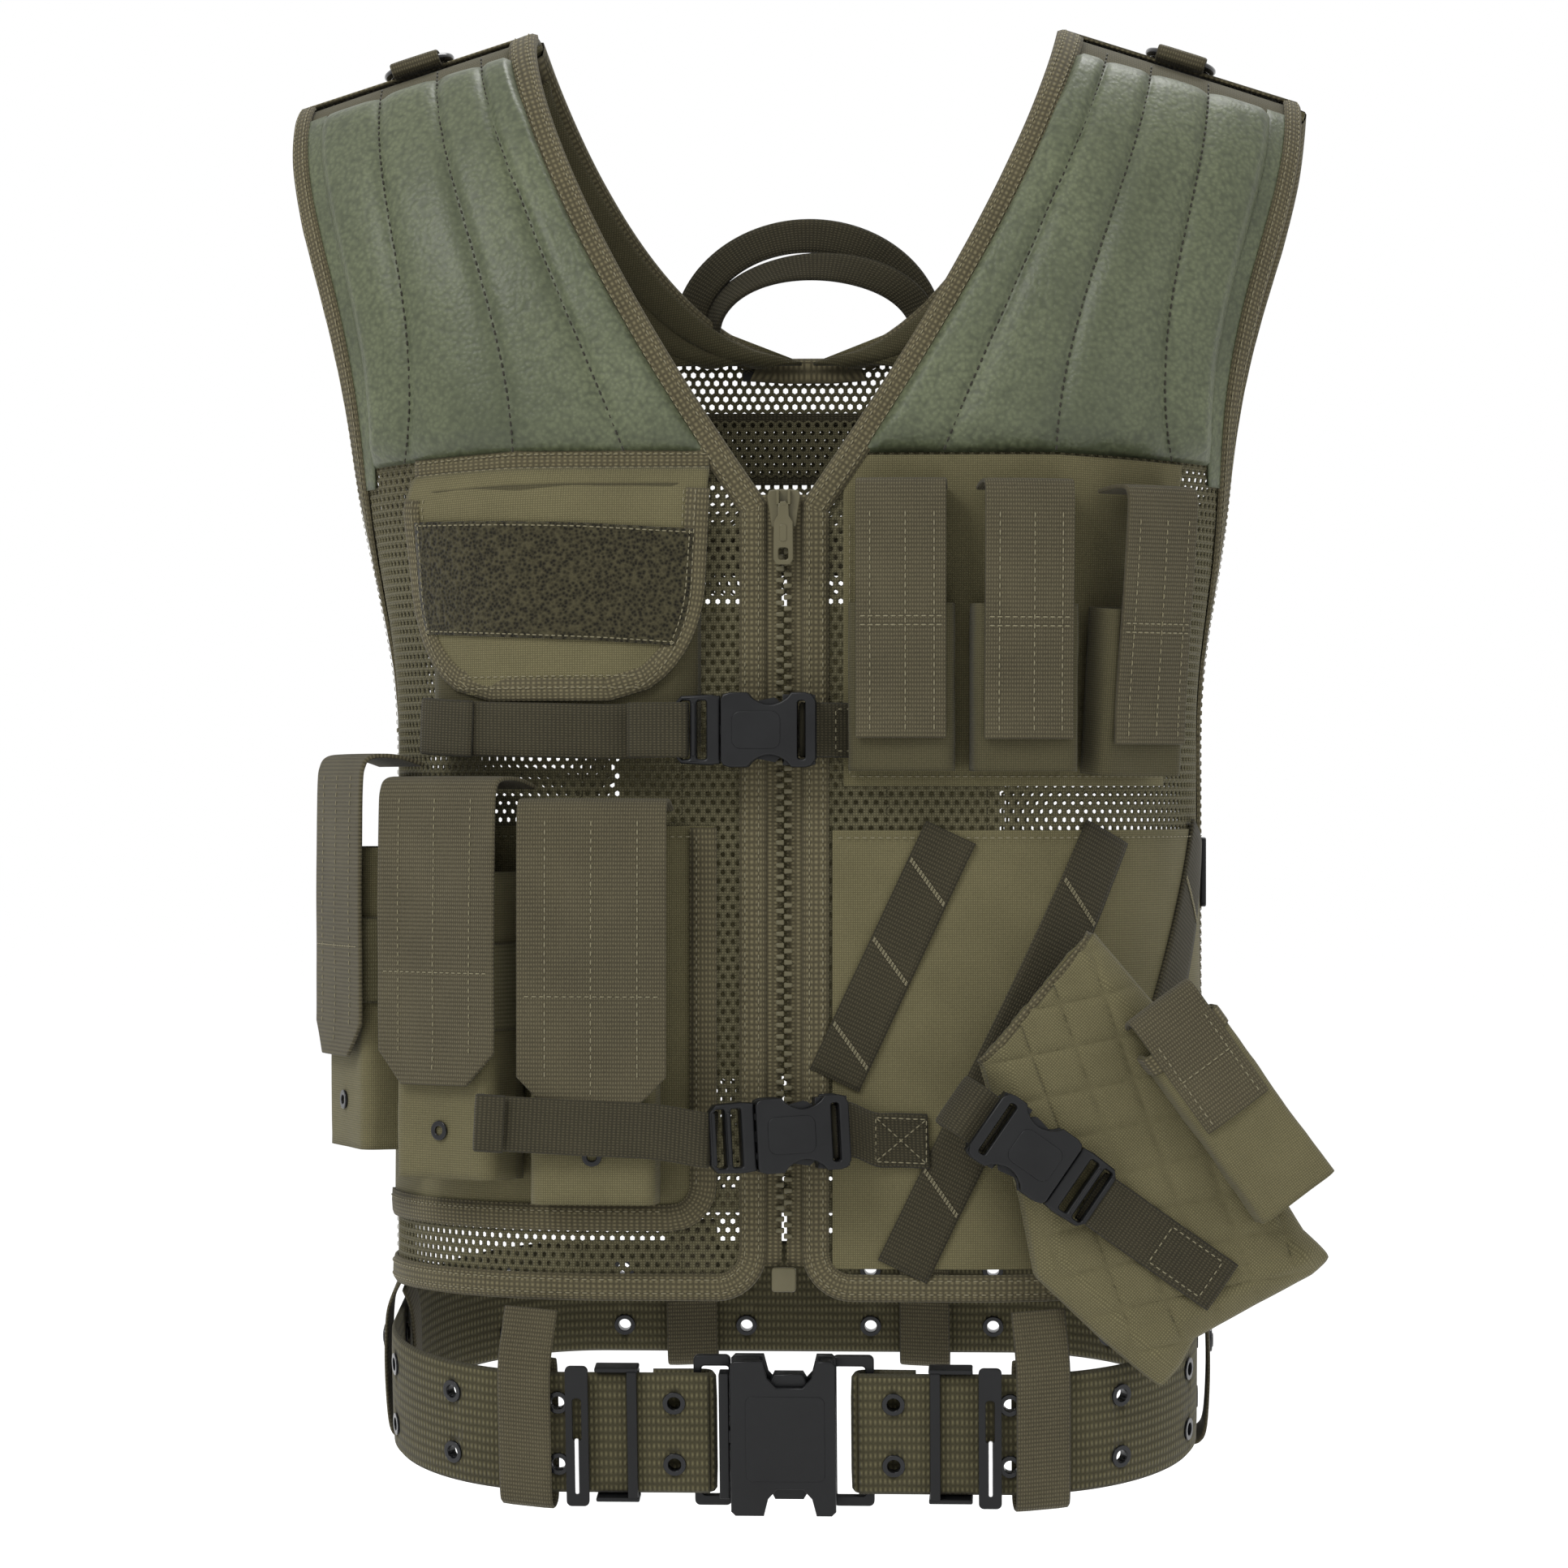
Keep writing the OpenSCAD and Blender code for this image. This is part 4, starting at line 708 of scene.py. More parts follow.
# side seams below the armholes
for left in (True, False):
    seam = [(sideS(t), t) for t in spread(body["armEnd"] - 4, level["hem"] - 12, 30)]
    foldedTape("sideSeam" + ("Left" if left else "Right"), seam, 1, left=left, wide=0.7)
    seamBack = [(sideS(t, True), t) for t in spread(body["armEnd"] - 4, level["backHem"] - 12, 30)]
    foldedTape("sideSeamBack" + ("Left" if left else "Right"), seamBack, 1, back=True, left=left, wide=0.7)

# shoulder seams, rings and their keepers
ringAt = {"s": 182, "lift": 4.6, "keeper": 24, "tilt": math.degrees(math.atan(0.32))}
for left in (True, False):
    side = "Left" if left else "Right"
    sign = -1 if left else 1
    tops = [skinPoint(s, 0) for s in (127, 150, 182, 215, 240, 251)]
    ridge = [Vector((sign * p.x, 0, p.z + 1.2)) for p in tops]
    strapPiece("shoulderSeamTape" + side, ridge, (0, 1, 0), 2.0, 17, edgeTape)
    top = skinPoint(ringAt["s"], 0)
    m = placed((top.x, 0, top.z), ("Y", ringAt["tilt"])) @ Matrix.Translation((0, 0, ringAt["lift"] * 0.001))
    if left:
        m = mirrored(m)
    ring = nodes["shoulder_ring_" + side.lower()]
    ring.data.materials.clear()
    ring.data.materials.append(glossRing)
    for k, tag in ((-1, "Front"), (1, "Rear")):
        y = k * 11.6
        loop = []
        for a in range(0, 361, 20):
            c, d = math.cos(math.radians(a)), math.sin(math.radians(a))
            loop.append(m @ (Vector((0, y + 7.6 * math.copysign(abs(c) ** 0.6, c),
                    3.2 * math.copysign(abs(d) ** 0.7, d) - 0.2)) * 0.001) * 1000)
        wide = (m.to_3x3() @ Vector((1, 0, 0)))
        strapPiece("ringKeeper" + tag + side, loop, tuple(wide), 1.3, ringAt["keeper"], ribWebbing, steps=2,
                replaced=("shoulder_keepers",) if left and k < 0 else ())
print("shoulders done")

# zip
zipShape = {"tooth": (3.9, 2.6, 2.5), "tail": 2.0, "step": 5.2, "first": level["zipTop"] + 14,
        "last": level["zipEnd"] - 10}
def toothMesh():
    bpy.ops.object.select_all(action="DESELECT")
    bpy.ops.mesh.primitive_cube_add(size=1, location=(0, 0, 0))
    tooth = bpy.context.active_object
    long, deep, high = zipShape["tooth"]
    for v in tooth.data.vertices:
        v.co.x *= long
        v.co.y *= deep
        v.co.z *= high if v.co.x > 0 else zipShape["tail"]
    useModifiers(tooth, ("BEVEL", {"width": 0.55, "segments": 2}))
    points = [v.co.copy() for v in tooth.data.vertices]
    faces = [tuple(p.vertices) for p in tooth.data.polygons]
    bpy.data.objects.remove(tooth)
    return points, faces
toothPoints, toothFaces = toothMesh()
for left in (True, False):
    points, faces = [], []
    count = int((zipShape["last"] - zipShape["first"]) / zipShape["step"])
    for k in range(count):
        z = -zipShape["first"] - (0 if left else zipShape["step"] / 2) - k * zipShape["step"] - 1.1
        base = len(points)
        for p in toothPoints:   # the wide head reaches over the middle
            x = 1.9 - p.x
            points.append((-x if left else x, -129.6 + p.y, z + p.z))
        faces += [tuple(base + i for i in f) for f in toothFaces]
    name = "zipTeeth" + ("Left" if left else "Right")
    teeth = meshPiece(name, points, faces)
    fixNormals(teeth)
    finishPiece(teeth, zipAcetal, "vest", ("zip_teeth_" + ("left" if left else "right"),))
    def tapeCell(u, v):
        return 1.2 + 9.5 * u, level["zipTop"] + 2 + (level["zipEnd"] - level["zipTop"] - 2) * v
    clothSheet("zipTape" + ("Left" if left else "Right"), tapeCell, 4, 60, -0.2, 0.9, edgeTape, left=left,
            replaced=("zip_tapes",) if left else ())
boxPlace = placed((0, -130.6, -level["zipEnd"] - 5.8))
flatShape("zipBottomBox", [roundRect(0, 0, 11, 11, 1.5)], 4.6, 0.8, boxPlace, zipAcetal,
        replaced=("zip_bottom_box",))
sliderPlace = Matrix.Translation((0, 0, -(level["zipTop"] + 8.5) * 0.001))
shield = [(-7.6, 5.5), (-6.6, 8.3), (-3.5, 8.6), (3.5, 8.6), (6.6, 8.3), (7.6, 5.5), (6.6, -1), (5.6, -8.2),
        (4.4, -8.6), (-4.4, -8.6), (-5.6, -8.2), (-6.6, -1)]
parts = []
for y in (-132.2, -125.8):
    parts.append(flatShape("sliderPlate", [shield], 1.8, 0.6, Matrix.Translation((0, y * 0.001, 0)) @ sliderPlace,
            zipAcetal, "zip_slider"))
parts.append(flatShape("sliderPost", [roundRect(0, 0, 0.9, 12, 0.3)], 6.4, 0.2,
        Matrix.Translation((0, -0.129, 0)) @ sliderPlace, zipAcetal, "zip_slider"))
for x in (-2.6, 2.6):
    parts.append(flatShape("sliderEar", [roundRect(x, 5, 1.4, 7, 0.6)], 3.4, 0.4,
            Matrix.Translation((0, -0.1345, 0)) @ sliderPlace, zipAcetal, "zip_slider"))
zipSlider = joinPieces("zipSlider", parts)
finishPiece(zipSlider, None, "zip_slider", ("zip_slider",))
pullPlace = placed((0, -135.5, -231.5 - 14.3))
pull = [(-2.3, 14.5), (2.3, 14.5), (2.6, 9), (4.4, 6), (4.6, -11), (3.2, -13.5), (-3.2, -13.5), (-4.6, -11),
        (-4.4, 6), (-2.6, 9)]
pullParts = [flatShape("pullTab", [pull, roundRect(0, -8.5, 4.4, 5.4, 1.2)], 1.9, 0.55, pullPlace, zipAcetal,
        "zip_pull"), flatShape("pullRidge", [roundRect(0, 1, 3.4, 8, 1.2)], 2.6, 0.5, pullPlace,
        zipAcetal, "zip_pull"), flatShape("pullPin", [roundRect(0, 14.3, 3.4, 2.2, 1.0)], 2.2, 0.6,
        pullPlace, zipAcetal, "zip_pull")]
zipPull = joinPieces("zipPull", pullParts)
finishPiece(zipPull, None, "zip_pull", ("zip_pull",))
print("zip done")

# helpers for the sewn-on goods; their frames have X across, Y into the body and Z up
def frameOf(origin, across, inward):
    x, y = Vector(across).normalized(), Vector(inward).normalized()
    z = x.cross(y).normalized()
    m = Matrix((x, z.cross(x), z)).transposed().to_4x4()
    m.translation = Vector(origin)
    return m

def inMetres(m):
    out = m.copy()
    out.translation = m.translation * 0.001
    return out

def evenRing(outline, step):
    out = []
    for k, a in enumerate(outline):
        b = outline[(k + 1) % len(outline)]
        count = max(1, round(math.dist(a, b) / step))
        out += [(a[0] + (b[0] - a[0]) * i / count, a[1] + (b[1] - a[1]) * i / count) for i in range(count)]
    return out

def boxPouch(name, at, box, material, belly, seed, corner=5.0, replaced=(), crease=0.7, ridesOn="vest"):
    w, h, deep = box
    ring = evenRing(roundRect(0, -deep / 2, w, deep, corner), 3.0)
    n = len(ring)
    rows = [(i / 30, 1.0) for i in range(31)] + [(1.006, 0.96), (1.012, 0.8), (1.012, 0.4)]
    points, uvs, faces = [], [], []
    for v, small in rows:
        run = 0
        for k, (x, y) in enumerate(ring):
            ahead, behind = ring[(k + 1) % n], ring[k - 1]
            nx, ny = ahead[1] - behind[1], behind[0] - ahead[0]
            size = math.hypot(nx, ny)
            nx, ny = nx / size, ny / size
            front = max(0.0, -ny)
            out = belly * front * math.sin(math.pi * min(1, v)) ** 0.6 * (1 - (1.8 * x / w) ** 2 * 0.7)
            if ny < 0.5:
                out += ripple(x + 3 * y, h * v, seed, 24, crease) + ripple(x - y, h * v, seed + 5, 9, crease * 0.3)
            points.append(at @ Vector((x * small + nx * out, (y + deep / 2) * small - deep / 2 + ny * out,
                    -h * min(1.0, v))))
            uvs.append((run, h * v))
            run += math.dist((x, y), ahead)
    for j in range(len(rows) - 1):
        for k in range(n):
            a, b = j * n + k, j * n + (k + 1) % n
            faces.append((a, a + n, b + n, b))
    faces.append(tuple(range(len(points) - n, len(points))))
    obj = meshPiece(name, points, faces, uvs)
    fixNormals(obj)
    useModifiers(obj, ("SOLIDIFY", {"thickness": 0.0013, "offset": -1.0}))
    return finishPiece(obj, material, ridesOn, replaced)

def hangingFlap(name, at, w, path, thick, material, cut=0.0, curl=0.5, seed=1, replaced=(),
        bend=None, ridesOn="vest"):
    line, _ = smoothLine([(0, y, z) for y, z in path], (1, 0, 0), 6)
    runs = [0]
    for a, b in zip(line, line[1:]):
        runs.append(runs[-1] + (b - a).length)
    nu = 22
    def spot(k, x, lift):
        ahead = (line[min(k + 1, len(line) - 1)] - line[max(k - 1, 0)]).normalized()
        out = ahead.cross(Vector((1, 0, 0)))
        far = runs[k] / runs[-1]
        wave = ripple(x, runs[k], seed, 34, curl) * far - curl * 1.6 * (2 * x / w) ** 2 * far
        return line[k] + Vector((x, 0, 0)) + out * (lift + wave), out
    points, uvs = [], []
    for k in range(len(line)):
        half = w / 2 - max(0, cut - (runs[-1] - runs[k])) * 0.98
        for i in range(nu + 1):
            x = half * (2 * i / nu - 1)
            points.append(at @ spot(k, x, 0)[0])
            uvs.append((runs[k], x))
    obj = meshPiece(name, points, gridFaces(nu, len(line) - 1), uvs)
    useModifiers(obj, ("SOLIDIFY", {"thickness": thick * 0.001, "offset": -1.0}),
            ("BEVEL", {"width": thick * 0.0003, "segments": 2, "limit_method": "ANGLE", "angle_limit": 1.0}))
    fixNormals(obj)
    def onFlap(cells, lift=0.15):   # (run, across) to a line and its normals
        spots, normals = [], []
        for d, x in cells:
            k = min(range(len(runs)), key=lambda i: abs(runs[i] - d))
            p, n = spot(k, x, lift)
            j = min(len(line) - 1, k + 1)
            p += (line[j] - line[k]).normalized() * (d - runs[k]) if j > k else Vector((0, 0, 0))
            spots.append(at @ p)
            normals.append(at.to_3x3() @ n)
        return spots, normals
    if bend is None:
        finishPiece(obj, material, ridesOn, replaced)
    else:
        obj.data.materials.append(material)
        if replaced:
            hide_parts(*replaced)
        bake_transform(obj)
    return obj, onFlap

def lineBetween(a, b, count=12):
    return [(a[0] + (b[0] - a[0]) * i / count, a[1] + (b[1] - a[1]) * i / count) for i in range(count + 1)]

# side-release buckles: X along the strap, mouth of the socket at 0
release = {"long": 43, "high": 34, "thick": 13, "wall": 2.8, "plug": 21, "strap": 25}
def buckleSet(name, at, plugBody, prongNode, plugNode):
    l, h, thick, wall = release["long"], release["high"] / 2, release["thick"], release["wall"]
    def plateIn(y):
        return inMetres(at @ Matrix.Translation((0, y, 0)))
    def scallop(side):   # the cut-away where the prong pads are squeezed
        return [(x, side * (h - 5.6 * math.sin(math.pi * (x - 12) / 20) ** 0.7)) for x in (12.01, 14, 17, 20, 22,
                24, 27, 30, 31.99)]
    outer = [(0, -h + 3), (1, -h + 1), (4, -h)] + scallop(-1) + [(38, -h), (41, -h + 0.8), (l, -h + 4)]
    outer += [(x, -z) for x, z in outer[::-1]]
    bar = roundRect(l - 6.5, 0, 3.6, release["strap"] + 1.5, 1.2)
    pieces = []
    for y in (-thick / 2 + wall / 2, thick / 2 - wall / 2):
        pieces.append(flatShape(name + "Face", [outer, bar], wall, 0.9, plateIn(y), blackAcetal))
    # raised field on the front face
    pieces.append(flatShape(name + "Field", [roundRect(16, 0, 22, 17, 4)], 1.4, 0.5, plateIn(-thick / 2 + 0.2),
            blackAcetal))
    rim = [(28, -h + 1), (l - 0.4, -h + 1.2), (l - 0.4, h - 1.2), (28, h - 1)]
    pieces.append(flatShape(name + "Rim", [rim, bar, roundRect(30, 0, 8, 20, 1)], thick - 2 * wall + 0.4, 0.2,
            plateIn(0), blackAcetal))
    for side in (-1, 1):
        wallShape = [(0.5, side * (h - 2.6)), (12, side * (h - 2.6)), (11, side * (h - 0.6)), (0.9, side * (h - 1))]
        pieces.append(flatShape(name + "Side", [wallShape], thick - 2 * wall + 0.4, 0.2, plateIn(0), blackAcetal))
    socket = joinPieces(name + "Socket", pieces)
    finishPiece(socket, blackAcetal, "vest")
    # plug: ladder plate outside, tongue inside
    p = release["plug"]
    plate = [(-0.4, -h + 1.6), (-0.4, h - 1.6), (-6, h - 1), (-p + 3, h - 1.6), (-p, h - 5), (-p, -h + 5),
            (-p + 3, -h + 1.6), (-6, -h + 1)]
    slots = [roundRect(x, 0, 4.4, release["strap"] + 1.5, 1.0) for x in (-16.2, -8.8)]
    parts = [flatShape(name + "Plate", [plate] + slots, thick - 4, 1.3, plateIn(0), blackAcetal)]
    for x in (-19.4, -12.5):
        parts.append(flatShape(name + "Ridge", [roundRect(x, 0, 1.8, release["strap"] - 1, 0.8)], 1.6, 0.6,
                plateIn(-thick / 2 + 1.9), blackAcetal))
    parts.append(flatShape(name + "Tongue", [[(-1.5, -2.4), (20, -2.4), (21, -1), (21, 1), (20, 2.4),
            (-1.5, 2.4)]], 5.8, 0.6, plateIn(0), blackAcetal))
    plug = joinPieces(name + "Plug", parts)
    finishPiece(plug, blackAcetal, plugBody, (plugNode,))
    arms = []
    for side in (-1, 1):
        arm = [(-0.5, side * (h - 9.6)), (15, side * (h - 8.8)), (17, side * (h - 4.6)), (24, side * (h - 3.2)),
                (26, side * (h - 5)), (26, side * (h - 8)), (24, side * (h - 8.6)), (20, side * (h - 7.4)),
                (14, side * (h - 6.4)), (-0.5, side * (h - 6.6))]
        arms.append(flatShape(name + "Arm", [arm], 6.4, 0.8, plateIn(0), blackAcetal))
    prongs = joinPieces(name + "Prongs", arms)
    finishPiece(prongs, blackAcetal, plugBody, (prongNode,))
    return socket

chestBuckle = frameOf((-27.5, -147, -334.5), (1, 0, 0), (0, 1, 0))
waistBuckle = frameOf((-12, -155, -518), (0.9646, 0.2588, 0.0506), (-0.2585, 0.9659, -0.0135))
holsterBuckle = frameOf((126.37, -162.83, -534.02), (0.8067, 0.1422, -0.5736),
        (-0.1736, 0.9848, 0)) @ Matrix.Scale(-1, 4, (1, 0, 0))
buckleSet("chestBuckle", chestBuckle, "chest_plug", "chest_prongs", "chest_plug")
buckleSet("waistBuckle", waistBuckle, "waist_plug", "waist_prongs", "waist_plug")
holsterSocket = buckleSet("holsterBuckle", holsterBuckle, "holster_plug", "holster_prongs", "holster_plug")
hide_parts("buckle_sockets")
print("buckles moulded")

# utility pocket with its curved flap, upper left
pocket = {"s0": 38, "wide": 134, "t0": 222, "high": 123, "deep": 10, "flapTop": 214, "flapHigh": 106, "over": 4,
        "round": 52, "inward": 40}
def pocketCell(u, v):
    return pocket["s0"] + pocket["wide"] * u, pocket["t0"] + pocket["high"] * v
def pocketBulge(u, v, s, t):
    edge = min(1, u * 12, (1 - u) * 12) ** 0.5 * min(1, (1 - v) * 11) ** 0.5
    return (pocket["deep"] - 1.0) * max(0.02, edge) + ripple(s, t, 12, 30, 0.8) * edge
# painted shade: the pocket under its flap uses the darker copy of the cloth
clothSheet("utilityPocket", pocketCell, 52, 44, 0.6, 1.2, nylonShadedCopy, left=True, bulge=pocketBulge,
        replaced=("utility_pouch",))
def flapHalf(h):   # half width of the curved flap at h below its top
    e = max(0, h - pocket["flapHigh"] + pocket["round"])
    deep, across = pocket["round"], pocket["inward"]
    return pocket["wide"] / 2 + pocket["over"] - across * (1 - math.sqrt(max(0,
            1 - (e / deep) ** 2))) - 5 * h / pocket["flapHigh"]
def flapCell(u, v):
    h = pocket["flapHigh"] * v
    half = flapHalf(h)
    return pocket["s0"] + pocket["wide"] / 2 + half * (2 * u - 1), pocket["flapTop"] + h
def flapRise(u, v, s, t):
    return 9.6 * min(1, v * 7) ** 0.6 + ripple(s, t, 21, 42, 1.1) * v + 1.2 * math.sin(math.pi * u) * v
utilityFlap = clothSheet("utilityFlap", flapCell, 48, 44, 2.4, 1.3, nylonCloth, left=True, bulge=flapRise,
        ridesOn="utility_flap", replaced=("utility_flap",))
def flapLine(cells, lift):
    line, normals = [], []
    for u, v in cells:
        s, t = flapCell(u, v)
        p, n = onSkin(s, t, lift + 2.4 + flapRise(u, v, s, t)), skinNormal(s, t)
        line.append(Vector((-p.x, p.y, p.z)))
        normals.append(Vector((-n.x, n.y, n.z)))
    return line, normals
# edge tape: one side, the curved bottom, the other side
rim = [(0, v / 20) for v in range(2, 21)] + [(u / 24, 1) for u in range(1, 25)] + [(1,
        1 - v / 20) for v in range(1, 19)]
rimLine, rimNormals = flapLine(rim, 0)
middleS = pocket["s0"] + pocket["wide"] / 2
centre = onSkin(middleS, pocket["flapTop"] + 50, 12)
centre.x = -centre.x
def rimBand(name, line, normals, inward, wide, thick, material, rides, slotName):
    points, uvs = [], []
    run = 0
    section = [(wide, -0.2), (wide, thick), (wide * 0.5, thick + 0.3), (0.6, thick), (-1.0, 0.2), (-1.2, -0.9),
            (0, -1.8), (wide, -1.8)]
    for k, (p, n) in enumerate(zip(line, normals)):
        ahead = (line[min(k + 1, len(line) - 1)] - line[max(k - 1, 0)]).normalized()
        side = ahead.cross(n).normalized()
        side = side if side.dot(inward - p) > 0 else -side
        run += (p - line[k - 1]).length if k else 0
        for a, b in section:
            points.append(p + side * a + n * b)
            uvs.append((run, a + b))
    obj = meshPiece(name, points, tubeFaces(len(section), len(line) - 1), uvs)
    fixNormals(obj)
    return finishPiece(obj, material, rides)
rimBand("utilityFlapTape", rimLine, rimNormals, centre, 9.5, 0.7, edgeTape, "utility_flap", "binding_tape")
flapThread = StitchSet("utilityFlapStitches", lightThread, "utility_flap")
for inset, lift in ((0.036, 1.25), (0.075, 0.3)):
    inner = [(inset, v / 20) for v in range(2, 20)] + [(inset + (1 - 2 * inset) * u / 24,
            1 - inset * 1.3) for u in range(25)]
    inner += [(1 - inset, 1 - v / 20) for v in range(1, 19)]
    flapThread.row(*flapLine(inner, lift), pitch=3.6, length=2.4, radius=0.28)
# loop patch on the flap, set a little crooked
def patchCell(u, v):
    x, y = (2 * u - 1) * 0.46, (v - 0.5) * 0.50
    return 0.5 + x + 0.02 * y, 0.49 + y - 0.035 * (2 * u - 1)
def patchSheet(name, material, nu=40, nv=24):
    points, uvs = [], []
    for j in range(nv + 1):
        for i in range(nu + 1):
            u, v = patchCell(i / nu, j / nv)
            s, t = flapCell(u, v)
            p = onSkin(s, t, 2.9 + flapRise(u, v, s, t))
            points.append((-p.x, p.y, p.z))
            uvs.append((s, t))
    obj = meshPiece(name, points, gridFaces(nu, nv, True), uvs)
    useModifiers(obj, ("SOLIDIFY", {"thickness": 0.0012, "offset": 0.6}))
    fixNormals(obj)
    return finishPiece(obj, material, "utility_flap")
patchSheet("loopPatch", loopTape)
patchRim = [patchCell(u / 20, 0.03) for u in range(21)] + [patchCell(0.985, v / 12) for v in range(13)]
patchRim += [patchCell(1 - u / 20, 0.97) for u in range(21)] + [patchCell(0.015, 1 - v / 12) for v in range(13)]
flapThread.row(*flapLine(patchRim, 1.45), pitch=3.0, length=2.2, radius=0.28).finish()
# the flap's root tape on the panel
utilityRoot = clothSheet("utilityFlapRoot", lambda u, v: (pocket["s0"] - 4 + (pocket["wide"] + 8) * u,
        206 + 12 * v), 40, 5, 1.6, 1.3, edgeTape, left=True, bulge=lambda u, v, s, t: 1.2 * math.sin(math.pi * v))
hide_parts("flap_roots")
rootThread = StitchSet("utilityRootStitches", lightThread)
for t in (208.5, 214.5):
    rootThread.row(*skinLine([(pocket["s0"] - 3 + 140 * i / 30, t) for i in range(31)], 3.0, left=True), pitch=3.6)
rootThread.finish()
print("utility pocket sewn")

# chest strap
strap = {"wide": 25, "thick": 1.7, "foldWide": 26, "stubThick": 2.6}
def skinPath(cells, left):
    out = []
    for s, t, lift in cells:
        p = onSkin(s, t, lift)
        out.append((-p.x if left else p.x, p.y, p.z))
    return out
tail = skinPath([(52, 334.5, 15.2), (62, 334.8, 13.8), (80, 335.2, 14.2), (104, 334.6, 15.4), (128, 334, 16.2),
        (148, 333, 16.6), (160, 332.2, 16.4)], True)
strapPiece("chestStrapTail", tail, (0, 0, 1), strap["thick"], strap["wide"], darkWebbing, "chest_plug",
        replaced=("chest_straps",))
fold = skinPath([(160, 332.2, 16.4), (162.5, 332.2, 18.2), (160, 332.2, 20.0), (150, 333, 19.8),
        (136, 333.8, 18.6)], True)
strapPiece("chestStrapFold", fold, (0.03, 0, 1), strap["thick"], strap["foldWide"], darkWebbing, "chest_plug")
strapPiece("chestStrapLoop", [(-44, -141.6, -334.5), (-43, -149, -334.5), (-46, -152.4, -334.5),
        (-56, -151.8, -334.5), (-70, -147.6, -334.6)], (0, 0, 1), strap["thick"], strap["wide"], darkWebbing,
        "chest_plug")
strapPiece("chestStub", [(9.5, -149, -334.5), (8.8, -145, -334.5), (12, -142.2, -334.5), (20, -139, -334.5),
        (32, -133, -334.6), (44, -131.2, -334.6)], (0, 0, 1), strap["stubThick"], strap["wide"], darkWebbing)
chestThread = StitchSet("chestStrapStitches", lightThread)
for z in (-325, -344):
    chestThread.row([Vector((24, -138.6, z)), Vector((40, -132.9, z))], [Vector((0, -1, 0))] * 2)
for x in (24, 33, 40):
    y = {24: -138.6, 33: -134.3, 40: -132.9}[x]
    chestThread.row([Vector((x, y, -325)), Vector((x, y, -344))], [Vector((0, -1, 0))] * 2)
chestThread.finish()
print("chest strap threaded")

# pistol magazine pouches, upper right
pistol = {"size": (48, 76, 20), "flapWide": 41, "flapThick": 2.1}
clothSheet("pistolPanel", lambda u, v: (max(27, neckEdge(213 + 145 * v) + 12) + (190 - max(27,
        neckEdge(213 + 145 * v) + 12)) * u, 209 + 151 * v), 44, 44, 0.7, 1.3, nylonCloth, bulge=lambda u, v, s,
        t: ripple(s, t, 31, 36, 0.5) + 0.5, replaced=("pistol_panel",), rounded=0.4)
pistolBoxes = [((54, -130.15, -277), (1, 0, 0), (0, 1, 0)), ((107.15, -128.56, -277.03), (0.9774, 0.2112, 0),
        (-0.2112, 0.9772, 0.0225)), ((155.18, -109.46, -278.16), (0.7683, 0.6401, 0), (-0.6379, 0.7656, 0.0829))]
pistolFolds = [((54, -150.75, -221), (1, 0, 0), (0, 1, 0)), ((111.77, -149.92, -221.51), (0.9774, 0.2112, 0),
        (-0.2112, 0.9772, 0.0225)), ((171.29, -128.8, -224.06), (0.7683, 0.6401, 0), (-0.6379, 0.7656, 0.0829))]
for i, (boxFrame, foldFrame) in enumerate(zip(pistolBoxes, pistolFolds)):
    at = frameOf(*boxFrame)
    # painted shade: the pouch bodies under the flaps use the darker copy of the cloth
    boxPouch("pistolPouch%d" % (i + 1), at, pistol["size"], nylonShadedCopy, 0.2, 41 + i, crease=0.35,
            replaced=("pistol_pouches",) if i == 0 else ())
    fold = frameOf(*foldFrame)
    flapBody = "pistol_flap_%d" % (i + 1)
    path = [(20.2, -2.6), (13, -0.6), (5, 0.6), (-0.4, -0.2), (-2.6, -3.4), (-3.6, -10), (-3.8, -40), (-3.4, -75),
            (-3.2, -100), (-4.2, -117)]
    _, onFlap = hangingFlap("pistolFlap%d" % (i + 1), fold, pistol["flapWide"], path, pistol["flapThick"],
            ribWebbing, curl=0.7, seed=50 + i, replaced=(flapBody,), bend=(flapBody, ((5.0, 0.5), (-3.4, -9.0))))
    thread = StitchSet("pistolFlapStitches%d" % (i + 1), lightThread, flapBody)
    for x in (-14, 2, 15):
        thread.row(*onFlap(lineBetween((36, x), (136, x), 14)), pitch=4.0, length=2.6, radius=0.3)
    for d in (84, 88):
        thread.row(*onFlap([(d, -19), (d, -10), (d, 0), (d, 10), (d, 19)]), pitch=3.4, length=2.5, radius=0.34)
    thread.finish()
panelThread = StitchSet("pistolPanelStitches", lightThread)
panelThread.row(*skinLine([(30 + 157 * i / 24, 355.5) for i in range(25)], 2.5), pitch=3.6)
panelThread.row(*skinLine([(188, 214 + 140 * i / 20) for i in range(21)], 2.5), pitch=3.6)
panelThread.row(*skinLine([(30, 240 + 115 * i / 20) for i in range(21)], 2.5), pitch=3.6)
panelThread.finish()
print("pistol pouches sewn")

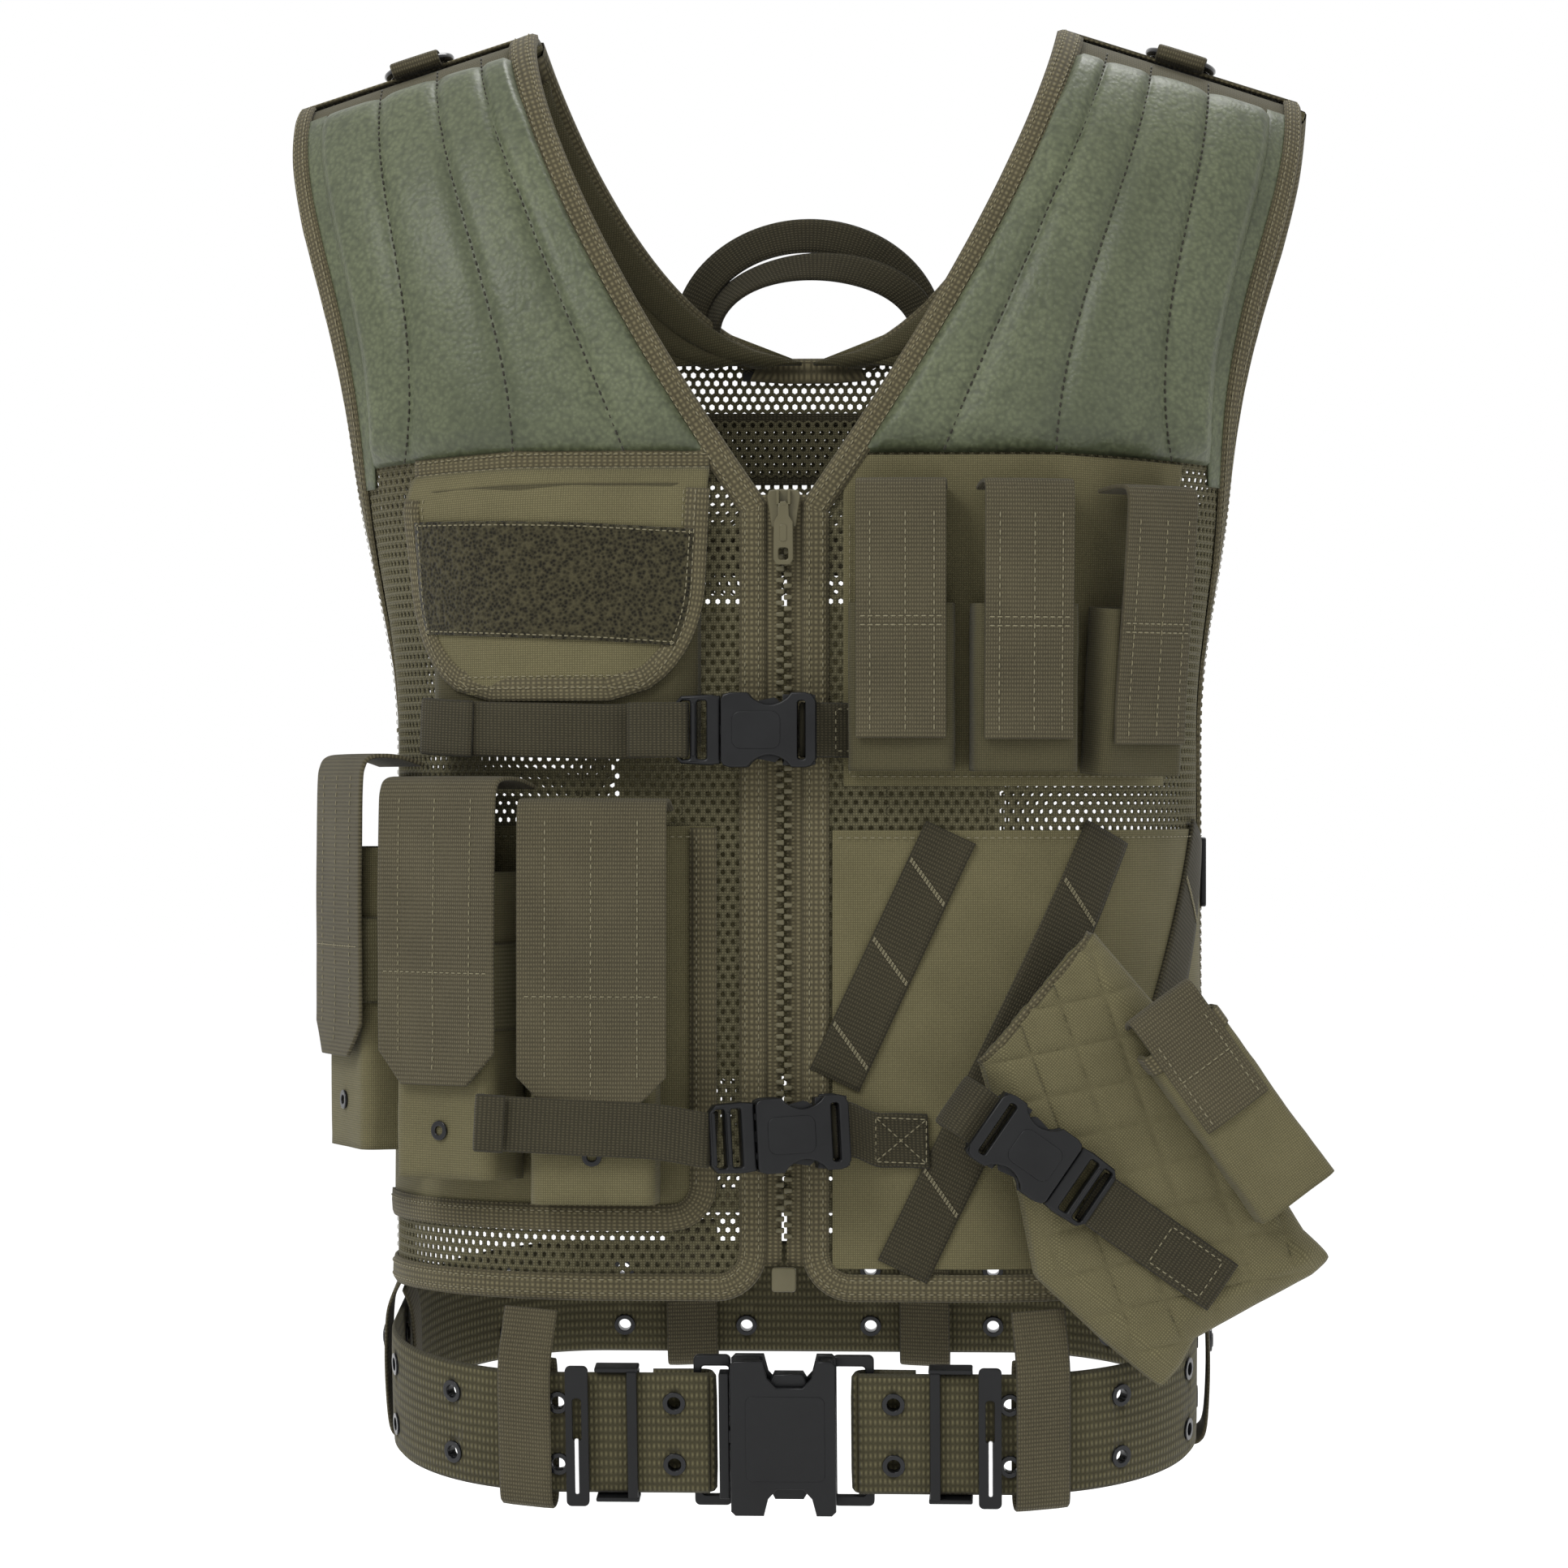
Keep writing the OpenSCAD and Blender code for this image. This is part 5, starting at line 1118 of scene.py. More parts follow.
# rifle magazine pouches, lower left
rifle = {"size": (57, 140, 29), "flapWide": 68, "flapThick": 2.0, "flapCut": 15, "flapEnd": 168}
def panelStart(t):   # the bound edge turns a round corner into the foot of the panel
    return 32 + 20 - math.sqrt(max(0, 400 - max(0, t - 542) ** 2))
clothSheet("riflePanel", lambda u, v: (panelStart(378 + 184 * v) + (240 - panelStart(378 + 184 * v)) * u,
        378 + 184 * v), 50, 46, 0.7, 1.3, nylonCloth, left=True, bulge=lambda u, v, s,
        t: ripple(s, t, 61, 40, 0.6) + 0.6, replaced=("rifle_panel",), rounded=0.4)
rifleBoxes = [((-84.07, -130.08, -409), (0.9993, -0.0364, 0), (0.0364, 0.9993, 0)),
        ((-140.7, -112.28, -398.97), (0.8404, -0.5419, 0), (0.5419, 0.8404, 0)),
        ((-181.6, -65.29, -388.43), (0.4209, -0.9071, 0), (0.9071, 0.4209, 0))]
rifleFolds = [((-85.15, -159.66, -367), (0.9993, -0.0364, 0), (0.0364, 0.9993, 0)),
        ((-156.74, -137.15, -356.97), (0.8404, -0.5419, 0), (0.5419, 0.8404, 0)),
        ((-208.45, -77.75, -346.43), (0.4209, -0.9071, 0), (0.9071, 0.4209, 0))]
rimCells = [(32, 379 + 163 * k / 20) for k in range(21)] + [(52 - 20 * math.cos(a),
        542 + 20 * math.sin(a)) for a in (0.3, 0.6, 0.9, 1.2)]
rimCells += [(52 + 188 * k / 26, 562) for k in range(27)]
rimBand("riflePanelTape", *skinLine(rimCells, 2.0, left=True), Vector((-130, -125, -460)), 11, 0.8, edgeTape,
        "vest", "binding_tape")
elastic = wovenCloth("elasticLoopBand", "#6b664c", "#3b3723", 0.0011, 0.0019, 0.0004, 0.4)
for i, (boxFrame, foldFrame) in enumerate(zip(rifleBoxes, rifleFolds)):
    at = frameOf(*boxFrame)
    boxPouch("riflePouch%d" % (i + 1), at, rifle["size"], nylonCloth, 0.3, 71 + i, corner=6.5, crease=0.45,
            replaced=("rifle_pouches",) if i == 0 else ())
    fold = frameOf(*foldFrame)
    flapBody = "rifle_flap_%d" % (i + 1)
    path = [(28.5, -2.8), (18, 0.6), (8, 1.6), (1, 0.4), (-2.4, -4), (-3.8, -14), (-4.6, -50), (-5.0, -90),
            (-5.0, -120), (-6.0, -139)]
    _, onFlap = hangingFlap("rifleFlap%d" % (i + 1), fold, rifle["flapWide"], path, rifle["flapThick"], ribWebbing,
            cut=rifle["flapCut"], curl=0.8, seed=80 + i, replaced=(flapBody,),
            bend=(flapBody, ((7.0, 1.2), (-3.6, -11.0))))
    end = rifle["flapEnd"]
    thread = StitchSet("rifleFlapStitches%d" % (i + 1), lightThread, flapBody)
    for x in (-21, 0, 21):
        thread.row(*onFlap(lineBetween((38, x), (end - 5 - (8 if abs(x) > 1 else 0), x), 16)), pitch=3.8,
                length=2.5)
    thread.row(*onFlap(lineBetween((end - 50, -31), (end - 50, 31), 10)), pitch=3.4, length=2.4)
    thread.finish()
    # elastic band round the pouch, under the flap
    bandPath = [(-29.2, -3), (-29.6, -24), (-27.5, -29), (-22, -31), (-10, -31.4), (10, -31.4), (22, -31),
            (27.5, -29), (29.6, -24), (29.2, -3)]
    strapPiece("elasticBand%d" % (i + 1), [at @ Vector((x, y, -52)) for x, y in bandPath],
            tuple(at.to_3x3() @ Vector((0, 0, 1))), 1.0, 40, elastic, steps=4)
    # drain grommet, low on the front
    grommetAt = at @ Matrix.Translation((0, -30.2, -118))
    flatShape("drainGrommet%d" % (i + 1), [roundRect(0, 0, 9, 9, 4.4, 8), roundRect(0, 0, 4.2, 4.2, 2.05, 6)], 1.2,
            0.5, inMetres(grommetAt), eyeletEnamel)
rifleThread = StitchSet("riflePanelStitches", lightThread)
rifleThread.row(*skinLine([(56 + 182 * i / 30, 554) for i in range(31)], 3.1, left=True), pitch=3.6)
rifleThread.row(*skinLine([(40, 382 + 160 * i / 20) for i in range(21)], 3.1, left=True), pitch=3.6)
rifleThread.row(*skinLine([(35 + 202 * i / 30, 383) for i in range(31)], 2.4, left=True), pitch=3.6)
rifleThread.finish()
print("rifle pouches sewn")

# waist strap
def alongWaist(x, y, z=0):
    return tuple(waistBuckle @ Vector((x, y, z)))
strapPiece("waistStrapTail", [alongWaist(-17, 5), alongWaist(-20, 1.2), alongWaist(-24, -1.2),
        (-56, -165.2, -515.4), (-84, -166.4, -514), (-112, -166.2, -512.6), (-134, -165.2, -511.4)], (0.05, 0, 1),
        1.8, 25, darkWebbing, "waist_plug", replaced=("waist_straps",))
strapPiece("waistStrapFold", [(-134, -165.2, -511.4), (-137, -167, -511.3), (-134, -169, -511.4),
        (-124, -168.8, -512)], (0.05, 0, 1), 1.8, 26, darkWebbing, "waist_plug")
strapPiece("waistStub", [alongWaist(36, -2), alongWaist(40, 2.4), alongWaist(46, 3.5), (42, -134, -520.6),
        (52, -131.6, -521), (66, -131.4, -521.6)], (-0.05, 0, 1), 2.6, 25, darkWebbing)
waistThread = StitchSet("waistStubStitches", lightThread)
corners = [(42, -510.5), (65, -511.5), (65, -531.5), (42, -530.5)]
for a, b in ((0, 1), (1, 2), (2, 3), (3, 0), (0, 2), (1, 3)):
    waistThread.row([Vector((x, -133.4 if x > 50 else -135.2, z)) for x, z in (corners[a], corners[b])],
            [Vector((0, -1, 0))] * 2, pitch=3.2)
waistThread.finish()
print("waist strap threaded")

# holster panel with its slanted webbings, lower right
def skinBand(name, a, b, wide, lift, thick, material, seed=0, replaced=(), back=False, left=False,
        count=40):
    ahead = Vector((b[0] - a[0], b[1] - a[1], 0)).normalized()
    length = math.dist(a, b)
    points, uvs = [], []
    for k in range(count + 1):
        for i in range(9):
            run, x = length * k / count, wide * (i / 8 - 0.5)
            s, t = a[0] + ahead.x * run - ahead.y * x, a[1] + ahead.y * run + ahead.x * x
            p = onSkin(s, t, lift + ripple(s, t, seed, 20, 0.35), back)
            points.append((-p.x if left else p.x, p.y, p.z))
            uvs.append((run, x))
    obj = meshPiece(name, points, gridFaces(8, count, True), uvs)
    useModifiers(obj, ("SOLIDIFY", {"thickness": thick * 0.001, "offset": 0.0}))
    fixNormals(obj)
    return finishPiece(obj, material, "vest", replaced)

clothSheet("holsterPanel", lambda u, v: (22 + 226 * u, 380 + 200 * v), 60, 54, 0.7, 1.2, nylonCloth,
        bulge=lambda u, v, s, t: ripple(s, t, 91, 45, 0.7) + 0.6, replaced=("holster_panel",), rounded=0.3)
slants = [((76, 381), (23, 494), (0.2, 0.52, 0.86)), ((151, 381), (54, 581), (0.16, 0.82)),
        ((232, 381), (135, 581), (0.16, 0.8))]
slantThread = StitchSet("slantStitches", lightThread)
for n, (a, b, tacks) in enumerate(slants):
    skinBand("slantWebbing%d" % (n + 1), a, b, 25, 2.3, 1.5, darkWebbing, seed=95 + n)
    ahead = Vector((b[0] - a[0], b[1] - a[1])).normalized()
    for f in tacks:
        for shift in (-0.7, 0, 0.7):
            mid = (a[0] + (b[0] - a[0]) * f + shift * ahead.x, a[1] + (b[1] - a[1]) * f + shift * ahead.y)
            cells = [(mid[0] - ahead.y * x - 0.55 * ahead.x * x,
                    mid[1] + ahead.x * x - 0.55 * ahead.y * x) for x in (-11.5, -5, 0, 5, 11.5)]
            slantThread.row(*skinLine(cells, 3.3), pitch=1.7, length=1.5, radius=0.32)
slantThread.row(*skinLine([(24 + 222 * i / 30, 383.5) for i in range(31)], 2.4), pitch=3.6)
slantThread.finish()

# quilted holster
holsterFrame = frameOf((89, -135, -485), (0.633, 0.1116, 0.766), (-0.1736, 0.9848, 0))
holster = {"thick": 24, "wall": 2.6, "quilt": 20, "puff": 1.5}
holsterEdges = {"left": [(0, 0), (-14, -21), (-36, -54), (-58, -81), (-60, -120), (-60, -157)],
        "right": [(76, 0), (70, -36), (65, -70), (49, -116), (34, -161), (33, -178)],
        "foot": [(-60, -157), (-47, -156), (-34, -153), (-6, -164), (23, -176), (33, -178)]}
def alongEdge(edge, u):
    k = min(len(edge) - 2, int(u * (len(edge) - 1)))
    f = u * (len(edge) - 1) - k
    return Vector((edge[k][0] + (edge[k + 1][0] - edge[k][0]) * f, edge[k][1] + (edge[k + 1][1] - edge[k][1]) * f))
def holsterSpot(u, v):   # Coons patch between the four edges
    top, foot = Vector((76 * u, 0)), alongEdge(holsterEdges["foot"], u)
    a, b = alongEdge(holsterEdges["left"], v), alongEdge(holsterEdges["right"], v)
    corner = Vector((0, 0)) * (1 - u) * (1 - v) + Vector((76, 0)) * u * (1 - v) + Vector((-60,
            -157)) * (1 - u) * v + Vector((33, -178)) * u * v
    return top * (1 - v) + foot * v + a * (1 - u) + b * u - corner
def holsterPuff(x, z):   # 0 in a stitched groove, 1 in the middle of a diamond
    one = abs(((x * 0.62 + z * 0.78) / holster["quilt"]) % 1 - 0.5) * 2
    two = abs(((x * 0.86 - z * 0.5) / holster["quilt"]) % 1 - 0.5) * 2
    return (1 - one ** 6) * (1 - two ** 6)
def holsterSurface(u, v, front):
    p = holsterSpot(u, v)
    edge = min(1, u * 7, (1 - u) * 7) ** 0.5 * min(1, (1 - v) * 11) ** 0.5
    half = holster["thick"] / 2 * (0.12 + 0.88 * edge) - holster["puff"]
    half += edge * (holster["puff"] * holsterPuff(p.x, p.y) + (ripple(p.x, p.y, 111, 38,
            1.0) if front else 0)) * (1 if front else 0.4)
    return Vector((p.x, -holster["thick"] / 2 + (-half if front else half), p.y))
nu, nv = 70, 96
points, uvs, faces = [], [], []
for front in (True, False):
    for j in range(nv + 1):
        for i in range(nu + 1):
            p = holsterSurface(i / nu, j / nv, front)
            points.append(holsterFrame @ p)
            uvs.append((p.x, p.z))
layer = (nu + 1) * (nv + 1)
for j in range(nv):
    for i in range(nu):
        a = j * (nu + 1) + i
        faces.append((a, a + 1, a + nu + 2, a + nu + 1))
        faces.append((layer + a, layer + a + nu + 1, layer + a + nu + 2, layer + a + 1))
for j in range(nv):
    for i in (0, nu):
        a = j * (nu + 1) + i
        faces.append((a, a + nu + 1, layer + a + nu + 1, layer + a))
for i in range(nu):
    a = nv * (nu + 1) + i
    faces.append((a, a + 1, layer + a + 1, layer + a))
holsterShell = meshPiece("holsterShell", points, faces, uvs)
fixNormals(holsterShell)
useModifiers(holsterShell, ("SOLIDIFY", {"thickness": holster["wall"] * 0.001, "offset": -1.0}))
finishPiece(holsterShell, nylonCloth, "vest", ("holster_shell", "holster_hook_pad"))
quiltThread = StitchSet("quiltStitches", lightThread)
quiltLines = []
for kind in (0, 1):
    for n in range(-14, 8):
        line = []
        for k in range(0, 261):
            along = -150 + k
            # the groove runs where the band coordinate is a whole number of pitches
            d = (n + 1.0) * holster["quilt"]
            if kind == 0:
                x, z = 0.62 * d + 0.78 * along, 0.78 * d - 0.62 * along
                x, z = x / (0.62 ** 2 + 0.78 ** 2), z / (0.62 ** 2 + 0.78 ** 2)
            else:
                x, z = 0.86 * d + 0.5 * along, -0.5 * d + 0.86 * along
                x, z = x / (0.86 ** 2 + 0.25), z / (0.86 ** 2 + 0.25)
            line.append((x, z))
        quiltLines.append(line)
# front surface by its own place, for laying the thread on it
finder = kdtree.KDTree(layer)
frontSpots = [holsterSurface(i / nu, j / nv, True) for j in range(nv + 1) for i in range(nu + 1)]
for k, p in enumerate(frontSpots):
    finder.insert(Vector((p.x, p.z, 0)), k)
finder.balance()
outward = holsterFrame.to_3x3() @ Vector((0, -1, 0))
for line in quiltLines:
    run = []
    for x, z in line + [(999, 999)]:
        _, k, gap = finder.find(Vector((x, z, 0)))
        u, v = (k % (nu + 1)) / nu, (k // (nu + 1)) / nv
        if gap < 1.6 and 0.04 < u < 0.96 and 0.03 < v < 0.96:
            run.append(holsterFrame @ Vector((x, frontSpots[k].y - 0.25, z)))
        else:
            if len(run) > 6:
                quiltThread.row(run[::3], [outward] * len(run[::3]), pitch=4.4, length=3.0, radius=0.26)
            run = []
quiltThread.finish()
print("holster quilted")

# mouth edge of the holster: a folded strip
mouth = [holsterSurface(u / 20, 0.012, True) for u in range(21)]
mouthLine = [holsterFrame @ (p + Vector((0, -0.3, 0))) for p in mouth]
strapPiece("holsterMouthEdge", mouthLine, tuple(holsterFrame.to_3x3() @ Vector((0, 0, 1))), 1.6, 9, edgeTape,
        steps=2)

# spare magazine pouch on the holster
magBox = {"size": (40, 92, 22), "flapWide": 34, "flapThick": 2.0}
magFrame = frameOf((175.99, -144.34, -470.15), (0.7967, 0.1405, 0.5878), (-0.1736, 0.9848, 0))
boxPouch("magPouch", magFrame, magBox["size"], nylonCloth, 1.0, 121, replaced=("holster_pouch",), crease=1.0)
ring = evenRing(roundRect(0, -11, 41.4, 23.4, 5.5), 4.0)
loop = [magFrame @ Vector((x, y, -4.6)) for x, y in ring + ring[:1]]
strapPiece("magMouthBand", loop, tuple(magFrame.to_3x3() @ Vector((0, 0, 1))), 1.0, 9, edgeTape,
        steps=2)
magFold = frameOf((171.07, -170.59, -457.2), (0.7967, 0.1405, 0.5878), (-0.1736, 0.9848, 0))
path = [(25, -2.6), (17, 0.2), (9, 1.8), (2.4, 1.2), (-0.6, -3), (-0.8, -12), (0.4, -34), (0, -60)]
magFlap, onMagFlap = hangingFlap("magFlap", magFold, magBox["flapWide"], path, magBox["flapThick"], ribWebbing,
        curl=0.8, seed=130, replaced=("holster_pouch_flap",), bend=("holster_pouch_flap",
        ((6.0, 1.6), (-0.8, -10.0))))
magThread = StitchSet("magFlapStitches", lightThread, "holster_pouch_flap")
for x in (-13, 13):
    magThread.row(*onMagFlap(lineBetween((40, x), (84, x), 10)), pitch=3.8)
magThread.row(*onMagFlap(lineBetween((60, -14), (60, 14), 6)), pitch=3.2).finish()
# straps of the retention buckle
def alongHolsterBuckle(x, y, z=0):
    return tuple(holsterBuckle @ Vector((x, y, z)))
acrossBuckle = tuple(holsterBuckle.to_3x3() @ Vector((0, 0, 1)))
strapPiece("retentionTail", [alongHolsterBuckle(-17, 3.6), alongHolsterBuckle(-21, 0.5),
        alongHolsterBuckle(-27, 2.6), alongHolsterBuckle(-38, 4.6), alongHolsterBuckle(-60, 5.2),
        alongHolsterBuckle(-91, 5.4)], acrossBuckle, 2.0, 25, darkWebbing, ridesOn="holster_plug",
        replaced=("holster_straps",))
strapPiece("retentionWrap", [alongHolsterBuckle(36, -1), alongHolsterBuckle(42, 1.5), alongHolsterBuckle(50, 0.5),
        alongHolsterBuckle(56, 6), alongHolsterBuckle(58, 15), alongHolsterBuckle(53, 25)], acrossBuckle, 2.0, 25,
        darkWebbing)
wrapThread = StitchSet("retentionStitches", lightThread, "holster_plug")
square = [(-56, -9.5), (-84, -9.5), (-84, 9.5), (-56, 9.5)]
for k in range(4):
    (xa, za), (xb, zb) = square[k], square[(k + 1) % 4]
    line = [holsterBuckle @ Vector((xa + (xb - xa) * i / 6, 4.1, za + (zb - za) * i / 6)) for i in range(7)]
    wrapThread.row(line, [outward] * 7, pitch=3.2)
wrapThread.finish()
print("magazine pouch and retention strap sewn")

# pistol belt
belt = {"half": 188, "round": 88, "front": 132, "back": 100, "wide": 57, "thick": 3.5, "z": -632, "tilt": 10,
        "end": 34}
beltFlat = belt["half"] - belt["round"]
beltQuarter = belt["round"] * math.pi / 2
beltSide = belt["front"] + belt["back"] - 2 * belt["round"]
beltLong = 2 * beltFlat + 2 * beltQuarter + beltSide
def beltTurn(s):
    if s < beltFlat:
        return 0
    if s < beltFlat + beltQuarter:
        return math.degrees((s - beltFlat) / belt["round"])
    if s < beltFlat + beltQuarter + beltSide:
        return 90
    return min(180, 90 + math.degrees((s - beltFlat - beltQuarter - beltSide) / belt["round"]))
def beltSpot(s, out=0):
    a, q = math.radians(beltTurn(s)), beltFlat + beltQuarter
    p = q + beltSide
    centre = (beltFlat, -belt["front"] + belt["round"]) if s < q else (beltFlat, belt["back"] - belt["round"])
    if s < beltFlat:
        base = (s, -belt["front"])
    elif s < q or s >= p:
        base = (centre[0] + belt["round"] * math.sin(a), centre[1] - belt["round"] * math.cos(a))
    else:
        base = (belt["half"], -belt["front"] + belt["round"] + s - q)
    over = max(0, s - p - beltQuarter)
    return Vector((base[0] - over + out * math.sin(a), base[1] - out * math.cos(a), 0))
onBelt = Matrix.Translation((0, 0, belt["z"])) @ Matrix.Rotation(math.radians(belt["tilt"]), 4, "X")
def beltPlace(s, mirror, out=0):   # X along the belt, -Y outward, Z up
    m = Matrix.Translation(beltSpot(s, out)) @ Matrix.Rotation(math.radians(beltTurn(s)), 4, "Z")
    return onBelt @ (Matrix.Scale(-1, 4, (1, 0, 0)) @ m if mirror else m)
half = [belt["end"] + (beltLong - belt["end"]) * k / 130 for k in range(131)]
flip = Matrix.Scale(-1, 4, (1, 0, 0))
beltLine = [onBelt @ beltSpot(s) for s in half] + [onBelt @ (flip @ beltSpot(s)) for s in half[-2::-1] if s > 90]
endLine = [onBelt @ (flip @ beltSpot(belt["end"] + (90.5 - belt["end"]) * k / 24)) for k in range(25)]
beltUp = onBelt.to_3x3() @ Vector((0, 0, 1))
beltStrap = strapPiece("pistolBelt", beltLine, tuple(beltUp), belt["thick"], belt["wide"], beltWebbing,
        replaced=("belt_webbing", "belt_ends"), steps=1)
beltEnd = strapPiece("pistolBeltEnd", endLine, tuple(beltUp), belt["thick"], belt["wide"], beltWebbing, steps=1,
        ridesOn=None)
eyeletAt = [50 + 53 * k for k in range(5)] + [beltLong - 31 - 61 * k for k in range(3)]
eyeletSpots = [(mirror, s, z) for mirror in (False, True) for s in eyeletAt for z in (-14.5, 14.5)]
cutters = []
for mirror, s, z in eyeletSpots:
    bpy.ops.object.select_all(action="DESELECT")
    bpy.ops.mesh.primitive_cylinder_add(vertices=16, radius=0.0036, depth=0.014)
    drill = bpy.context.active_object
    drill.data.transform(inMetres(beltPlace(s, mirror) @ Matrix.Translation((0, 0,
            z))) @ Matrix.Rotation(math.pi / 2, 4, "X"))
    cutters.append(drill)
drills = joinPieces("eyeletDrills", cutters)
fixNormals(drills)
for piece in (beltStrap, beltEnd):
    useModifiers(piece, ("BOOLEAN", {"object": drills, "operation": "DIFFERENCE", "solver": "EXACT"}))
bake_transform(beltEnd)
bpy.data.objects.remove(drills)
rings, endRings = [], []
washer = [roundRect(0, 0, 10.4, 10.4, 5.1, 7), roundRect(0, 0, 6.0, 6.0, 2.95, 5)]
tube = [roundRect(0, 0, 7.1, 7.1, 3.5, 5), roundRect(0, 0, 6.0, 6.0, 2.95, 5)]
for mirror, s, z in eyeletSpots:
    for y, shape, thick in ((-2.2, washer, 1.1), (2.2, washer, 1.1), (0, tube, 3.8)):
        place = beltPlace(s, mirror) @ Matrix.Translation((0, y, z))
        (endRings if mirror and s < 60 else rings).append(flatShape("eyeletRing", shape, thick,
                0.35 if thick < 2 else 0.02, inMetres(place), eyeletEnamel))
eyelets = joinPieces("beltEyelets", rings)
finishPiece(eyelets, eyeletEnamel, "vest", ("eyelets",))
finishPiece(joinPieces("beltEndEyelets", endRings), eyeletEnamel, "belt_plug")
# folded ends that lie back along the inside of the belt
for mirror in (False, True):
    pathPoints = [beltPlace(s, mirror, out) @ Vector((0, 0, 0)) for s,
            out in ((34, 0), (32, -2.5), (34, -7.2), (40, -8.4), (52, -8.2), (60, -8.0))]
    strapPiece("beltFold" + ("Left" if mirror else "Right"), pathPoints, tuple(beltUp), 3.0, belt["wide"] - 1,
            beltWebbing, steps=3, ridesOn="belt_plug" if mirror else "vest")
print("belt laid")

# belt buckle
beltBuckle = onBelt @ Matrix.Translation((-24, -belt["front"] - 2, 0))
beltRelease = {"high": 36.5, "wall": 3}
def buckleAt(y):
    return inMetres(beltBuckle @ Matrix.Translation((0, y, 0)))
def notch(side):   # trapezoid window in the long edge
    h = beltRelease["high"]
    return [(x, side * z) for x, z in ((15, h), (17, h - 8), (21, h - 12.5), (33, h - 12.5), (37, h - 8), (39, h))]
h = beltRelease["high"]
outer = [(0, -h + 2), (2, -h)] + notch(-1) + [(46, -h), (48, -h + 2)]
outer += [(x, -z) for x, z in outer[::-1]]
faceParts = [flatShape("beltFace", [outer], beltRelease["wall"], 1.0, buckleAt(y), blackAcetal) for y in (-6, 6)]
faceParts.append(flatShape("beltFaceField", [roundRect(25, 0, 36, 40, 3)], 1.2, 0.45, buckleAt(-7.3), blackAcetal))
for side in (-1, 1):
    wallShape = [(1, side * (h - 3)), (14, side * (h - 3)), (13, side * (h - 0.6)), (2, side * (h - 0.6))]
    faceParts.append(flatShape("beltWall", [wallShape], 9.2, 0.2, buckleAt(0), blackAcetal))
faceParts.append(flatShape("beltWallEnd", [[(41, -h + 1), (47, -h + 1), (47, h - 1), (41, h - 1)]], 9.2, 0.2,
        buckleAt(0), blackAcetal))
faceParts.append(flatShape("beltRails", [roundRect(55.5, 0, 19, 71, 2.5), roundRect(54, 0, 14, 61, 1.5)], 3.8, 0.8,
        buckleAt(7.35), blackAcetal))
beltSocket = joinPieces("beltSocket", faceParts)
finishPiece(beltSocket, blackAcetal, "vest", ("belt_socket",))
parts = [flatShape("beltPlugRails", [roundRect(-8.8, 0, 17, 71, 2.5), roundRect(-7.4, 0, 12.6, 61, 1.5)], 3.8, 0.8,
        buckleAt(7.35), blackAcetal), flatShape("beltPlugWall", [roundRect(-3, 0, 4.6, 59, 0.6)], 8.6, 0.5,
        buckleAt(0.4), blackAcetal), flatShape("beltTongue", [[(-1, -3), (27, -3), (28.5, -1.5), (28.5, 1.5),
        (27, 3), (-1, 3)]], 8, 0.8, buckleAt(0), blackAcetal)]
finishPiece(joinPieces("beltPlug", parts), blackAcetal, "belt_plug", ("belt_plug",))
arms = []
for side in (-1, 1):
    arm = [(0.5, side * (h - 21)), (19, side * (h - 21)), (22, side * (h - 16.5)), (34, side * (h - 16.5)),
            (36, side * (h - 12)), (33, side * (h - 7)), (20, side * (h - 7)), (17, side * (h - 13)),
            (0.5, side * (h - 16))]
    arms.append(flatShape("beltArm", [arm], 8, 1.0, buckleAt(0), blackAcetal))
finishPiece(joinPieces("beltProngs", arms), blackAcetal, "belt_plug", ("belt_prongs",))
print("belt buckle moulded")

# bent and moulded blocks: a cube scaled in edit mode, then its edges rounded
def block(name, place, size, centre, bevel):
    bpy.ops.object.select_all(action="DESELECT")
    bpy.ops.mesh.primitive_cube_add(size=0.001)
    made = bpy.context.active_object
    made.name = name
    bpy.ops.object.mode_set(mode="EDIT")
    bpy.ops.mesh.select_all(action="SELECT")
    bpy.ops.transform.resize(value=size)
    bpy.ops.object.mode_set(mode="OBJECT")
    useModifiers(made, ("BEVEL", {"width": bevel * 0.001, "segments": 2}))
    made.data.transform(inMetres(place @ Matrix.Translation(centre)))
    fixNormals(made)
    return made

keepers, plates = [], []
for mirror in (False, True):
    place = beltPlace(76, mirror)
    keepers += [block("keeperTop", place, (20, 10, 2.2), (0, 0, 30.6), 0.7),
            block("keeperFoot", place, (20, 10, 2.2), (0, 0, -30.6), 0.7),
            block("keeperBack", place, (20, 2.2, 59), (0, 4.1, 0), 0.7),
            block("keeperBar", place, (4.8, 2.4, 60), (-7, -4.2, 0), 0.8)]
    place = beltPlace(94, mirror) @ Matrix.Translation((0, -6.2, 0))
    plates.append(flatShape("hookPlate", [roundRect(0, 0, 10.5, 66, 2.4), roundRect(0, 8, 4, 20, 1.6)], 2.5, 0.5,
            inMetres(place), blackAcetal))
    plates.append(block("hookWire", place, (1.8, 2.4, 26), (0.2, -0.8, -14), 0.7))
finishPiece(joinPieces("beltKeepers", keepers), blackAcetal, "vest", ("belt_keepers",))
finishPiece(joinPieces("beltHookPlates", plates), blackAcetal, "vest", ("belt_hook_plates",))

